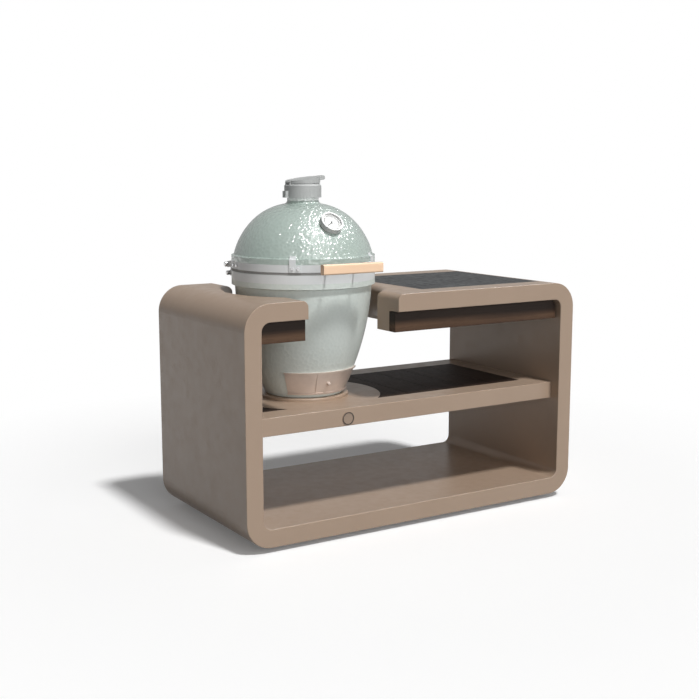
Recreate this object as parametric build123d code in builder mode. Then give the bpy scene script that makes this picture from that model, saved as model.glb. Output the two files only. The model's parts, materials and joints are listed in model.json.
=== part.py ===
from build123d import *
import math
import os

# Outdoor kitchen: a hollow rounded loop of sheet metal that carries a worktop, a drawer,
# a shelf and a kamado cooker. Millimetres, X to the right, Y to the back, Z up.
# The origin is on the floor, under the middle of the loop.

# Loop
WIDTH = 1500
DEPTH = 740
LOOP_HEIGHT = 873
BAND = 67
CORNER_RADIUS = 100
SHEET = 4
EDGE_ROUND = 2.5
FOOT_GAP = 20
CUT_OVERRUN = 1

# Cooker recess in the top, placed from the loop's left end
RECESS_FROM_LEFT = 445
RECESS_RADIUS = 297
SLOT_WIDTH = 383
LIP_RADIUS = 25
RECESS_SKIRT = 51

# Worktop panel
PANEL_INSET = 97
PANEL_END_MARGIN = 4
PANEL_RECESS_GAP = 66
PANEL_THICK = 12
PANEL_GAP = 0.5
LEDGE_WIDTH = 20
LEDGE_THICK = 4
RIB_COUNT = 3
RIB_THICK = 3

# Levelling feet
FOOT_INSET_X = 140
FOOT_INSET_Y = 90
PAD_RADIUS = 25
PAD_THICK = 8
STEM_RADIUS = 5
STEM_LENGTH = 44
NUT_WIDTH = 17

# Wooden fronts, drawer and runners
FRONT_SETBACK = 23.5
FRONT_END_GAP = 9
FRONT_THICK = 39
FRONT_HEIGHT = 78
FRONT_GAP = 3
FRONT_ROUND = 2
GRIP_MARGIN = 60
GRIP_LIP = 11
GRIP_DEPTH = 20
GRIP_HEIGHT = 16
FASCIA_GAP = 1
HANGER_MARGIN = 30
RUNNER_HEIGHT = 45
RUNNER_WIDTH = 12.7
RUNNER_LENGTH = 450
RUNNER_SHEET = 1.5
RUNNER_GAP = 0.3
RUNNER_START = 8
TRAY_SHEET = 2.5
TRAY_LENGTH = 450
TRAY_DROP = 11

# Shelf
SHELF_HEIGHT = 460
SHELF_THICK = 67
SHELF_SETBACK = 46
SHELF_REAR_SETBACK = 20
SLAT_THICK = 18
SLAT_PITCH = 138
SLAT_SEAM = 3
SLAT_GAP = 0.5
INLAY_MARGIN = 100
INLAY_RIGHT_MARGIN = 86
INLAY_LEFT_MARGIN = 43
CLEAT_WIDTH = 20
CLEAT_LENGTH = 560
BADGE_RADIUS = 24.5
BADGE_THICK = 3
BADGE_RIM = 4
BADGE_DROP = 39

# Cooker base
PLATE_RADIUS = 172.5
PLATE_THICK = 12
BASE_HEIGHT = 480
BASE_FOOT_RADIUS = 149
BASE_FOOT_ROUND = 7
BELLY_RADIUS = 264
BELLY_DROP = 12
BASE_WALL = 26
RIM_RADIUS = 272
BULGE_RADIUS = 275
BULGE_HEIGHT = 24
BULGE_STEP = 4
RIM_LEDGE = 1
GASKET_THICK = 4
GASKET_INNER_RADIUS = 249
GASKET_OUTER_RADIUS = 274
SPLIT_GAP = 0.3
LOWER_BAND_HEIGHT = 32
UPPER_BAND_HEIGHT = 27.5
BAND_SHEET = 3
FIT = 0.1

# Inside of the base
FIRE_WALL = 22
FIRE_BOX_HEIGHT = 240
FIRE_BOX_FOOT_RADIUS = 130
FIRE_RADIUS = 212
FIRE_HOLE_RADIUS = 92
FIRE_LEDGE_HEIGHT = 40
FIRE_RING_HEIGHT = 165
FIRE_INLET_WIDTH = 70
FIRE_INLET_HEIGHT = 33
COAL_PLATE_RADIUS = 115
COAL_PLATE_THICK = 8
COAL_HOLE_RADIUS = 9
COAL_RING_RADII = (46, 82)
COAL_RING_COUNTS = (6, 12)
GRID_RADIUS = 222
GRID_THICK = 6
GRID_RIM = 8
GRID_BAR = 5
GRID_PITCH = 24

# Draft door, as heights above the foot of the base and angles from the front
DRAFT_LOW = 14
DRAFT_HIGH = 104
DRAFT_SHEET = 2
DRAFT_RAIL = 6
DRAFT_RUN_GAP = 0.4
DRAFT_FRAME_ANGLE = 52
DRAFT_DOOR_ANGLE = 15
DRAFT_MOUTH_ANGLE = 11
DRAFT_KNOB_RADIUS = 6
DRAFT_KNOB_LENGTH = 14

# Hinge behind the split
HINGE_Y = 306
PIN_RADIUS = 5
PIN_HALF_LENGTH = 186
PIN_HEAD_RADIUS = 10
PIN_HEAD_THICK = 8
RUN_FIT = 0.08
EAR_RADIUS = 12
EAR_THICK = 6
CLAMP_BOLT_DROP = 34
CLAMP_BOLT_RADIUS = 9
CLAMP_BOLT_REACH = 178
LOWER_EAR_X = 156
UPPER_EAR_X = 168
SPRING_TURNS = 12
SPRING_WIRE_RADIUS = 1.75
SPRING_SEAT = 0.3
SPRING_PITCH = 4.6
SPRING_X = 64
SPRING_LEG = 20
SPRING_HALF_TURN = 0.5

# Dome
DOME_RADIUS = 274.5
DOME_DROP = 12
DOME_WALL = 30
CROWN_ANGLE = 45
CROWN_RADIUS = 225
NECK_RADIUS = 60
NECK_HEIGHT = 288.5
NECK_ROUND = 14
FLUE_RADIUS = 46

# Lid handle
HANDLE_LENGTH = 251
HANDLE_THICK = 24
HANDLE_HEIGHT = 37
HANDLE_ROUND = 6
HANDLE_FRONT = 365
HANDLE_RISE = 5
ARM_THICK = 4
ARM_HEIGHT = 20
ARM_X = 60
ARM_FOOT_WIDTH = 30
ARM_PAD_ANGLE = 3.5
STRAP_THICK = 3
STRAP_SEAT = 0.5
STRAP_RISE = 8
STRAP_ANGLE = 38
STRAP_HALF_ANGLE = 2.5
STRAP_PAD_ANGLE = 6.5
BOLT_RADIUS = 5
BOLT_HEAD = 4
ARM_BOLT_ANGLE = 2
STRAP_BOLT_ANGLE = 4.1
SIDE_BOLT_ANGLES = (94, 102)

# Thermometer on the dome
THERMO_TILT = 42.5
THERMO_RADIUS = 44
THERMO_DEPTH = 20
THERMO_WALL = 2
THERMO_BACK = 10
THERMO_STEM_RADIUS = 4
THERMO_STEM_LENGTH = 85
DIAL_THICK = 1.5
NEEDLE_LENGTH = 31
NEEDLE_WIDTH = 2.4
NEEDLE_SIDE_ANGLE = 88.5
NEEDLE_THICK = 1.2
NEEDLE_HUB_RADIUS = 4
POST_RADIUS = 1.5
NEEDLE_LIFT = 1.5
NEEDLE_REST = 215
GLASS_THICK = 2
BEZEL_LIP = 5

# Chimney cap
CAP_RADIUS = 70.5
CAP_HEIGHT = 52.5
CAP_LAP = 20
CAP_CHAMFER = 8
CLAMP_REACH = 11
CLAMP_HEIGHT = 25
CLAMP_WIDTH = 24
FLAP_RADIUS = 66
FLAP_GAP = 0.3
FLAP_THIN = 9
FLAP_THICK = 31
FLAP_REACH = 88
FLAP_ARM_WIDTH = 36
FLAP_ARM_THICK = 17
FLAP_ARM_ROUND = 8
FLAP_PIN_X = 62
FLAP_PIN_RISE = 5
FLAP_PIN_RADIUS = 2
FLAP_BARREL_RADIUS = 4.5
FLAP_BARREL_LENGTH = 24
FLAP_EAR_THICK = 6
FLAP_RELIEF = 2

# Levels and places worked out from the sizes above
TOP = FOOT_GAP + LOOP_HEIGHT
LOOP_CENTRE = FOOT_GAP + LOOP_HEIGHT / 2
RECESS_X = RECESS_FROM_LEFT - WIDTH / 2
SLAB_UNDER = TOP - BAND
BAY_FLOOR = FOOT_GAP + BAND
BAY_X = WIDTH / 2 - BAND
BAY_RADIUS = CORNER_RADIUS - BAND
FLAT_X = WIDTH / 2 - CORNER_RADIUS
INSIDE_Y = DEPTH / 2 - SHEET
SLOT_LEFT = RECESS_X - SLOT_WIDTH / 2
SLOT_RIGHT = RECESS_X + SLOT_WIDTH / 2
CUSP_Y = math.sqrt(RECESS_RADIUS**2 - (SLOT_WIDTH / 2) ** 2)
LIP_BOTTOM = TOP - LIP_RADIUS
FRONT_BOTTOM = SLAB_UNDER - FRONT_HEIGHT
WOOD_OUTER_Y = DEPTH / 2 - FRONT_SETBACK
WOOD_INNER_Y = WOOD_OUTER_Y - FRONT_THICK

PANEL_RIGHT = FLAT_X - PANEL_END_MARGIN
PANEL_LEFT = RECESS_X + RECESS_RADIUS + PANEL_RECESS_GAP
PANEL_LENGTH = PANEL_RIGHT - PANEL_LEFT
PANEL_X = (PANEL_LEFT + PANEL_RIGHT) / 2
PANEL_DEPTH = DEPTH - 2 * PANEL_INSET
LEDGE_BOTTOM = TOP - PANEL_THICK - LEDGE_THICK

SHELF_TOP = FOOT_GAP + SHELF_HEIGHT
SHELF_UNDER = SHELF_TOP - SHELF_THICK
SHELF_FRONT = -DEPTH / 2 + SHELF_SETBACK
SHELF_REAR = DEPTH / 2 - SHELF_REAR_SETBACK
INLAY_RIGHT = BAY_X - INLAY_RIGHT_MARGIN
INLAY_LEFT = -BAY_X + INLAY_LEFT_MARGIN
INLAY_DEPTH = SHELF_REAR - SHELF_FRONT - 2 * INLAY_MARGIN
INLAY_Y = (SHELF_FRONT + SHELF_REAR) / 2

PLATE_TOP = SHELF_TOP + PLATE_THICK
SPLIT = PLATE_TOP + BASE_HEIGHT
BASE_RIM = SPLIT - GASKET_THICK
LOWER_BAND_TOP = BASE_RIM - RIM_LEDGE
LOWER_BAND_BOTTOM = LOWER_BAND_TOP - LOWER_BAND_HEIGHT
LOWER_BULGE_BOTTOM = LOWER_BAND_BOTTOM - BULGE_HEIGHT
DOME_GASKET_BOTTOM = SPLIT + SPLIT_GAP
DOME_RIM = DOME_GASKET_BOTTOM + GASKET_THICK
UPPER_BAND_BOTTOM = DOME_RIM + RIM_LEDGE
UPPER_BAND_TOP = UPPER_BAND_BOTTOM + UPPER_BAND_HEIGHT
UPPER_BULGE_TOP = UPPER_BAND_TOP + BULGE_HEIGHT
BAND_INNER_RADIUS = RIM_RADIUS + FIT
BAND_OUTER_RADIUS = BAND_INNER_RADIUS + BAND_SHEET

# The base's side is one arc from its foot to the bulge, and would be upright at the belly's height
BELLY_Z = SPLIT - BELLY_DROP
BASE_ARC = ((BELLY_RADIUS - BASE_FOOT_RADIUS) ** 2 + (BELLY_Z - PLATE_TOP) ** 2) / (
    2 * (BELLY_RADIUS - BASE_FOOT_RADIUS)
)
BASE_FLOOR = PLATE_TOP + BASE_WALL
DOME_CENTRE = SPLIT - DOME_DROP
NECK_TOP = SPLIT + NECK_HEIGHT
DRAFT_BOTTOM_Z = PLATE_TOP + DRAFT_LOW
DRAFT_TOP_Z = PLATE_TOP + DRAFT_HIGH

SPRING_RADIUS = PIN_RADIUS + SPRING_SEAT + SPRING_WIRE_RADIUS

COOKER_AXIS = Axis((RECESS_X, 0, 0), (0, 0, 1))
FRONT_AZIMUTH = -90
BETWEEN_FACES = Plane.XZ.offset(INSIDE_Y)
RECESS_MIRROR = Plane.YZ.offset(RECESS_X)


# Helpers, each used inside a part that is being built

def block(x_limits, y_limits, z_limits, mode=Mode.ADD):
    """A box between its lowest and highest x, y and z."""
    spans = [high - low for low, high in (x_limits, y_limits, z_limits)]
    middle = [(low + high) / 2 for low, high in (x_limits, y_limits, z_limits)]
    with Locations(tuple(middle)):
        Box(*spans, mode=mode)


def radial_plane(azimuth):
    """An upright plane on the cooker's axis: x runs outwards at an azimuth, y runs up."""
    turn = math.radians(azimuth)
    outwards = (math.cos(turn), math.sin(turn), 0)
    normal = (math.sin(turn), -math.cos(turn), 0)
    return Plane(origin=(RECESS_X, 0, 0), x_dir=outwards, z_dir=normal)


def ring(inner, outer, low, high, mode=Mode.ADD):
    """An upright tube round the cooker's axis."""
    with BuildSketch(Plane.XY.offset(low)) as outline:
        with Locations((RECESS_X, 0)):
            Circle(outer)
            Circle(inner, mode=Mode.SUBTRACT)
    extrude(outline.sketch, amount=high - low, mode=mode)


def disc(radius, low, high, mode=Mode.ADD):
    """An upright cylinder on the cooker's axis."""
    with BuildSketch(Plane.XY.offset(low)) as outline:
        with Locations((RECESS_X, 0)):
            Circle(radius)
    extrude(outline.sketch, amount=high - low, mode=mode)


def rod(start, direction, radius, length, mode=Mode.ADD):
    """A round rod from a point along a direction."""
    with BuildSketch(Plane(origin=start, z_dir=direction)) as outline:
        Circle(radius)
    extrude(outline.sketch, amount=length, mode=mode)


def base_radius(height, offset=0):
    """Radius of the base's side at a height, or of a surface parallel to it."""
    reach = BASE_ARC + offset
    return BELLY_RADIUS - BASE_ARC + math.sqrt(reach**2 - (BELLY_Z - height) ** 2)


def base_side(low, high, offset=0):
    """Three points of the base's side between two heights, for an arc."""
    heights = (low, (low + high) / 2, high)
    return [(base_radius(height, offset), height) for height in heights]


def loop_rectangle(inset, mode=Mode.ADD):
    """The loop's rounded outline, drawn in by an inset, on a plane that holds X and Z."""
    with Locations((0, LOOP_CENTRE)):
        RectangleRounded(WIDTH - 2 * inset, LOOP_HEIGHT - 2 * inset, CORNER_RADIUS - inset, mode=mode)


# Loop: the bent outer sheet, open along the flat of the top
with BuildPart() as outer_shell:
    with BuildSketch(BETWEEN_FACES):
        loop_rectangle(0)
        loop_rectangle(SHEET, mode=Mode.SUBTRACT)
        with Locations((0, TOP)):
            Rectangle(2 * FLAT_X, 2 * CORNER_RADIUS, mode=Mode.SUBTRACT)
    extrude(amount=-2 * INSIDE_Y)
    with Locations((0, 0, FOOT_GAP + SHEET / 2)):
        with GridLocations(WIDTH - 2 * FOOT_INSET_X, DEPTH - 2 * FOOT_INSET_Y, 2, 2):
            Cylinder(STEM_RADIUS + FIT, 2 * SHEET, mode=Mode.SUBTRACT)

# Loop: the bent sheet that lines the bay, cut away under the recess
with BuildPart() as inner_shell:
    with BuildSketch(BETWEEN_FACES):
        loop_rectangle(BAND - SHEET)
        loop_rectangle(BAND, mode=Mode.SUBTRACT)
        with Locations((RECESS_X, SLAB_UNDER)):
            Rectangle(SLOT_WIDTH + 2 * SHEET, 4 * SHEET, mode=Mode.SUBTRACT)
    extrude(amount=-2 * INSIDE_Y)
    disc(RECESS_RADIUS + SHEET, SLAB_UNDER - SHEET, SLAB_UNDER + 2 * SHEET, mode=Mode.SUBTRACT)

# Loop: the front and rear face plates, with eased edges and a rounded lip at the slot
with BuildPart() as front_face:
    with BuildSketch(Plane.XZ.offset(DEPTH / 2)) as face_outline:
        loop_rectangle(0)
        loop_rectangle(BAND, mode=Mode.SUBTRACT)
        with Locations((RECESS_X, TOP)):
            Rectangle(SLOT_WIDTH, 3 * BAND, mode=Mode.SUBTRACT)
        slot_points = face_outline.vertices().filter_by_position(Axis.X, SLOT_LEFT - FIT, SLOT_RIGHT + FIT)
        fillet(slot_points.group_by(Axis.Y)[-1], LIP_RADIUS)
    extrude(amount=-SHEET)
    fillet(front_face.faces().sort_by(Axis.Y)[0].edges(), EDGE_ROUND)

with BuildPart() as rear_face:
    mirror(front_face.part, about=Plane.XZ)


def deck_form(length, inset):
    """A top deck to the right of the slot as a full form, with its lip rounded along the recess."""
    end = SLOT_RIGHT + length
    lip = LIP_RADIUS - inset
    height = TOP - inset
    bore = RECESS_RADIUS + inset
    with BuildPart() as form:
        with BuildSketch(BETWEEN_FACES):
            with BuildLine():
                Polyline(
                    (SLOT_RIGHT + LIP_RADIUS, height),
                    (end, height),
                    (end, LIP_BOTTOM),
                    (SLOT_RIGHT + inset, LIP_BOTTOM),
                )
                RadiusArc((SLOT_RIGHT + inset, LIP_BOTTOM), (SLOT_RIGHT + LIP_RADIUS, height), lip)
            make_face()
        extrude(amount=-2 * INSIDE_Y)
        with BuildSketch(radial_plane(0)):
            with BuildLine():
                Polyline((bore + lip, height), (0, height), (0, LIP_BOTTOM), (bore, LIP_BOTTOM))
                RadiusArc((bore, LIP_BOTTOM), (bore + lip, height), lip)
            make_face()
        revolve(axis=COOKER_AXIS, mode=Mode.SUBTRACT)
    return form.part


def deck_sheet(length):
    """A formed deck of one sheet, open below and at its far end."""
    with BuildPart() as sheet:
        add(deck_form(length, 0))
        add(deck_form(length, SHEET), mode=Mode.SUBTRACT)
    return sheet.part


# Loop: the top decks, and the opening for the worktop panel
with BuildPart() as right_top_deck:
    add(deck_sheet(FLAT_X - SLOT_RIGHT))
    with Locations((PANEL_X, 0, TOP)):
        Box(PANEL_LENGTH, PANEL_DEPTH, 4 * SHEET, mode=Mode.SUBTRACT)

with BuildPart() as left_top_deck:
    mirror(deck_sheet(SLOT_LEFT + FLAT_X), about=RECESS_MIRROR)


def wall_outline(y_low, y_high):
    """The recess wall seen from above between two distances from the middle, as one sheet's thickness."""
    far_x = RECESS_X + RECESS_RADIUS + 2 * SHEET
    for side in (-1, 1):
        for inset, mode in ((0, Mode.ADD), (SHEET, Mode.SUBTRACT)):
            near_x = SLOT_RIGHT + inset
            with BuildSketch(mode=Mode.PRIVATE) as half:
                with Locations(((near_x + far_x) / 2, side * (y_low + y_high) / 2)):
                    Rectangle(far_x - near_x, y_high - y_low)
                with Locations((RECESS_X, 0)):
                    Circle(RECESS_RADIUS + inset, mode=Mode.SUBTRACT)
            add(half.sketch, mode=mode)


# Loop: the walls of the recess, deeper where they close the drawer's housing
with BuildPart() as right_recess_wall:
    with BuildSketch(Plane.XY.offset(SLAB_UNDER)):
        wall_outline(0, INSIDE_Y)
    extrude(amount=LIP_BOTTOM - SLAB_UNDER)
    with BuildSketch(Plane.XY.offset(SLAB_UNDER)):
        wall_outline(0, WOOD_INNER_Y)
    extrude(amount=-RECESS_SKIRT)
    with BuildSketch(Plane.XY.offset(SLAB_UNDER - RECESS_SKIRT)):
        wall_outline(CUSP_Y, WOOD_INNER_Y)
    extrude(amount=RECESS_SKIRT - FRONT_HEIGHT)

with BuildPart() as left_recess_wall:
    mirror(right_recess_wall.part, about=RECESS_MIRROR)

# Worktop: a rebated frame under the deck, ribs below it and the panel that lies in it
with BuildPart() as worktop_ledge:
    ledge_y = PANEL_DEPTH / 2 + LEDGE_WIDTH
    window_y = PANEL_DEPTH / 2 - LEDGE_WIDTH
    rebate_z = LEDGE_BOTTOM + LEDGE_THICK
    block((PANEL_LEFT - LEDGE_WIDTH, FLAT_X), (-ledge_y, ledge_y), (LEDGE_BOTTOM, TOP - SHEET))
    block((PANEL_LEFT, PANEL_RIGHT), (-PANEL_DEPTH / 2, PANEL_DEPTH / 2), (rebate_z, TOP), mode=Mode.SUBTRACT)
    block(
        (PANEL_LEFT + LEDGE_WIDTH, PANEL_RIGHT - LEDGE_WIDTH),
        (-window_y, window_y),
        (LEDGE_BOTTOM, rebate_z),
        mode=Mode.SUBTRACT,
    )

with BuildPart() as worktop_panel:
    with Locations((PANEL_X, 0, TOP)):
        Box(
            PANEL_LENGTH - 2 * PANEL_GAP,
            PANEL_DEPTH - 2 * PANEL_GAP,
            PANEL_THICK,
            align=(Align.CENTER, Align.CENTER, Align.MAX),
        )
    chamfer(worktop_panel.faces().sort_by(Axis.Z)[-1].edges(), PANEL_GAP)

with BuildPart() as slab_ribs:
    rib_height = LEDGE_BOTTOM - SLAB_UNDER - SHEET
    with Locations((PANEL_X, 0, SLAB_UNDER + SHEET + rib_height / 2)):
        with GridLocations(PANEL_LENGTH / RIB_COUNT, 1, RIB_COUNT, 1):
            Box(RIB_THICK, 2 * INSIDE_Y, rib_height)

# Levelling feet: a pad, a threaded stem through the bottom sheet and a nut under it
with BuildPart() as foot_pads:
    with GridLocations(WIDTH - 2 * FOOT_INSET_X, DEPTH - 2 * FOOT_INSET_Y, 2, 2):
        Cylinder(PAD_RADIUS, PAD_THICK, align=(Align.CENTER, Align.CENTER, Align.MIN))
    chamfer(foot_pads.edges().group_by(Axis.Z)[-1], PAD_THICK / 3)

with BuildPart() as foot_stems:
    with Locations((0, 0, PAD_THICK)):
        with GridLocations(WIDTH - 2 * FOOT_INSET_X, DEPTH - 2 * FOOT_INSET_Y, 2, 2):
            Cylinder(STEM_RADIUS, STEM_LENGTH, align=(Align.CENTER, Align.CENTER, Align.MIN))

with BuildPart() as foot_nuts:
    with BuildSketch(Plane.XY.offset(FOOT_GAP)):
        with GridLocations(WIDTH - 2 * FOOT_INSET_X, DEPTH - 2 * FOOT_INSET_Y, 2, 2):
            RegularPolygon(NUT_WIDTH / 2, 6, major_radius=False)
            Circle(STEM_RADIUS + FIT, mode=Mode.SUBTRACT)
    extrude(amount=-(FOOT_GAP - PAD_THICK) * 2 / 3)


def front_board(x_limits, top, corner_x, corner_radius):
    """A wooden board at the front under the slab, rounded at one top corner."""
    with BuildPart() as board:
        with BuildSketch(Plane.XZ.offset(WOOD_OUTER_Y)) as outline:
            with Locations(((x_limits[0] + x_limits[1]) / 2, (FRONT_BOTTOM + top) / 2)):
                Rectangle(x_limits[1] - x_limits[0], top - FRONT_BOTTOM)
            top_corners = outline.vertices().group_by(Axis.Y)[-1]
            fillet(top_corners.sort_by_distance((corner_x, top))[0], corner_radius)
        extrude(amount=-FRONT_THICK)
        fillet(board.faces().sort_by(Axis.Y)[0].edges(), FRONT_ROUND)
    return board.part


# Wooden fronts: the drawer's with a finger groove under it, a fixed one behind and two on the stub
FRONT_RIGHT = BAY_X - FRONT_END_GAP
STUB_LEFT = -BAY_X + FASCIA_GAP
BOARD_CORNER = BAY_RADIUS + FASCIA_GAP
GRIP_Y = -WOOD_OUTER_Y + GRIP_LIP

with BuildPart() as drawer_front:
    add(front_board((SLOT_RIGHT, FRONT_RIGHT), SLAB_UNDER - FRONT_GAP, FRONT_RIGHT, BAY_RADIUS - FRONT_GAP))
    block(
        (SLOT_RIGHT + GRIP_MARGIN, FRONT_RIGHT - GRIP_MARGIN),
        (GRIP_Y, GRIP_Y + GRIP_DEPTH),
        (FRONT_BOTTOM, FRONT_BOTTOM + GRIP_HEIGHT),
        mode=Mode.SUBTRACT,
    )

with BuildPart() as slab_rear_fascia:
    mirror(front_board((SLOT_RIGHT, BAY_X - FASCIA_GAP), SLAB_UNDER, BAY_X, BOARD_CORNER), about=Plane.XZ)

with BuildPart() as stub_front_fascia:
    add(front_board((STUB_LEFT, SLOT_LEFT), SLAB_UNDER, STUB_LEFT, BOARD_CORNER))

with BuildPart() as stub_rear_fascia:
    mirror(stub_front_fascia.part, about=Plane.XZ)

# Drawer: two hangers under the slab, telescopic runners on them and the tray between
HANGER_LEFT = RECESS_X + RECESS_RADIUS + SHEET + HANGER_MARGIN
HANGER_RIGHT = FLAT_X
HANGER_Y = WOOD_INNER_Y - FRONT_GAP
RUNNER_FRONT = -WOOD_INNER_Y + RUNNER_START
RUNNER_Z = SLAB_UNDER - FRONT_HEIGHT / 2
RAIL_LEFT = HANGER_LEFT + SHEET
RAIL_RIGHT = HANGER_RIGHT - SHEET
TRAY_LEFT = RAIL_LEFT + RUNNER_WIDTH
TRAY_RIGHT = RAIL_RIGHT - RUNNER_WIDTH

with BuildPart() as drawer_hangers:
    for hanger_x in (HANGER_LEFT, HANGER_RIGHT - SHEET):
        block((hanger_x, hanger_x + SHEET), (-HANGER_Y, HANGER_Y), (FRONT_BOTTOM + SHEET, SLAB_UNDER))


def runner_channel(web_at, tip_at, half_height):
    """A channel along the drawer: an upright web at one distance from the rail, two flanges to another."""
    web_end = web_at + math.copysign(RUNNER_SHEET, tip_at - web_at)
    runner_y = (RUNNER_FRONT, RUNNER_FRONT + RUNNER_LENGTH)
    with BuildPart() as channel:
        block(
            sorted((RAIL_LEFT + web_at, RAIL_LEFT + web_end)),
            runner_y,
            (RUNNER_Z - half_height, RUNNER_Z + half_height),
        )
        for low in (RUNNER_Z - half_height, RUNNER_Z + half_height - RUNNER_SHEET):
            block(sorted((RAIL_LEFT + web_at, RAIL_LEFT + tip_at)), runner_y, (low, low + RUNNER_SHEET))
    return channel.part


RUNNER_STEP = RUNNER_SHEET + RUNNER_GAP
RAIL_MIRROR = Plane.YZ.offset((RAIL_LEFT + RAIL_RIGHT) / 2)
CABINET_MEMBER = runner_channel(0, RUNNER_WIDTH - RUNNER_STEP, RUNNER_HEIGHT / 2)
MIDDLE_MEMBER = runner_channel(RUNNER_STEP, RUNNER_WIDTH - RUNNER_STEP, RUNNER_HEIGHT / 2 - RUNNER_STEP)
DRAWER_MEMBER = runner_channel(RUNNER_WIDTH, 2 * RUNNER_STEP, RUNNER_HEIGHT / 2 - 2 * RUNNER_STEP)

with BuildPart() as runner_cabinet_left:
    add(CABINET_MEMBER)

with BuildPart() as runner_cabinet_right:
    mirror(CABINET_MEMBER, about=RAIL_MIRROR)

with BuildPart() as runner_middle_left:
    add(MIDDLE_MEMBER)

with BuildPart() as runner_middle_right:
    mirror(MIDDLE_MEMBER, about=RAIL_MIRROR)

with BuildPart() as runner_drawer_left:
    add(DRAWER_MEMBER)

with BuildPart() as runner_drawer_right:
    mirror(DRAWER_MEMBER, about=RAIL_MIRROR)

with BuildPart() as drawer_tray:
    tray_y = (-WOOD_INNER_Y, -WOOD_INNER_Y + TRAY_LENGTH)
    tray_z = (FRONT_BOTTOM + SHEET, SLAB_UNDER - TRAY_DROP)
    block((TRAY_LEFT, TRAY_RIGHT), tray_y, tray_z)
    block(
        (TRAY_LEFT + TRAY_SHEET, TRAY_RIGHT - TRAY_SHEET),
        (tray_y[0] + TRAY_SHEET, tray_y[1] - TRAY_SHEET),
        (tray_z[0] + TRAY_SHEET, SLAB_UNDER),
        mode=Mode.SUBTRACT,
    )


def inlay_outline(margin):
    """The shelf's wooden inlay from above, cut by the recess circle and grown by a margin."""
    left = INLAY_LEFT - margin
    right = INLAY_RIGHT + margin
    with Locations(((left + right) / 2, INLAY_Y)):
        Rectangle(right - left, INLAY_DEPTH + 2 * margin)
    with Locations((RECESS_X, 0)):
        Circle(RECESS_RADIUS - margin, mode=Mode.SUBTRACT)


# Shelf: a folded tray with a well for the boards, a sheet that closes it and cleats at its ends
with BuildPart() as shelf_tray:
    block((-BAY_X, BAY_X), (SHELF_FRONT, SHELF_REAR), (SHELF_UNDER, SHELF_TOP))
    fillet(shelf_tray.edges().filter_by(Axis.X), EDGE_ROUND)
    block(
        (-BAY_X, BAY_X),
        (SHELF_FRONT + SHEET, SHELF_REAR - SHEET),
        (SHELF_UNDER, SHELF_TOP - SHEET),
        mode=Mode.SUBTRACT,
    )
    with BuildSketch(Plane.XY.offset(SHELF_TOP - SHEET)):
        inlay_outline(SHEET)
    extrude(amount=-SLAT_THICK)
    with BuildSketch(Plane.XY.offset(SHELF_TOP)):
        inlay_outline(0)
    extrude(amount=-SLAT_THICK, mode=Mode.SUBTRACT)

with BuildPart() as shelf_underside:
    block((-BAY_X, BAY_X), (SHELF_FRONT + SHEET, SHELF_REAR - SHEET), (SHELF_UNDER, SHELF_UNDER + SHEET))

with BuildPart() as shelf_cleats:
    cleat_z = (SHELF_UNDER + SHEET, SHELF_TOP - SHEET)
    for cleat_x in (-BAY_X, BAY_X - CLEAT_WIDTH):
        block((cleat_x, cleat_x + CLEAT_WIDTH), (-CLEAT_LENGTH / 2, CLEAT_LENGTH / 2), cleat_z)

with BuildPart() as shelf_slats:
    with BuildSketch(Plane.XY.offset(SHELF_TOP)):
        inlay_outline(-SLAT_GAP)
        circle_right = RECESS_X + RECESS_RADIUS
        seam_count = math.floor((INLAY_RIGHT - circle_right) / SLAT_PITCH)
        for seam in range(1, seam_count + 1):
            with Locations((INLAY_RIGHT - seam * SLAT_PITCH, INLAY_Y)):
                Rectangle(SLAT_SEAM, 2 * INLAY_DEPTH, mode=Mode.SUBTRACT)
    extrude(amount=-SLAT_THICK)

with BuildPart() as cooker_plate:
    disc(PLATE_RADIUS, SHELF_TOP, PLATE_TOP)
    chamfer(cooker_plate.edges().group_by(Axis.Z)[-1], PLATE_THICK / 4)

with BuildPart() as shelf_badge:
    with BuildSketch(Plane.XZ.offset(-SHELF_FRONT)):
        with Locations((RECESS_X, SHELF_TOP - BADGE_DROP)):
            Circle(BADGE_RADIUS)
    extrude(amount=BADGE_THICK)
    with BuildSketch(Plane.XZ.offset(BADGE_THICK - SHELF_FRONT)):
        with Locations((RECESS_X, SHELF_TOP - BADGE_DROP)):
            Circle(BADGE_RADIUS - BADGE_RIM)
    extrude(amount=-BADGE_THICK / 2, mode=Mode.SUBTRACT)

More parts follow.
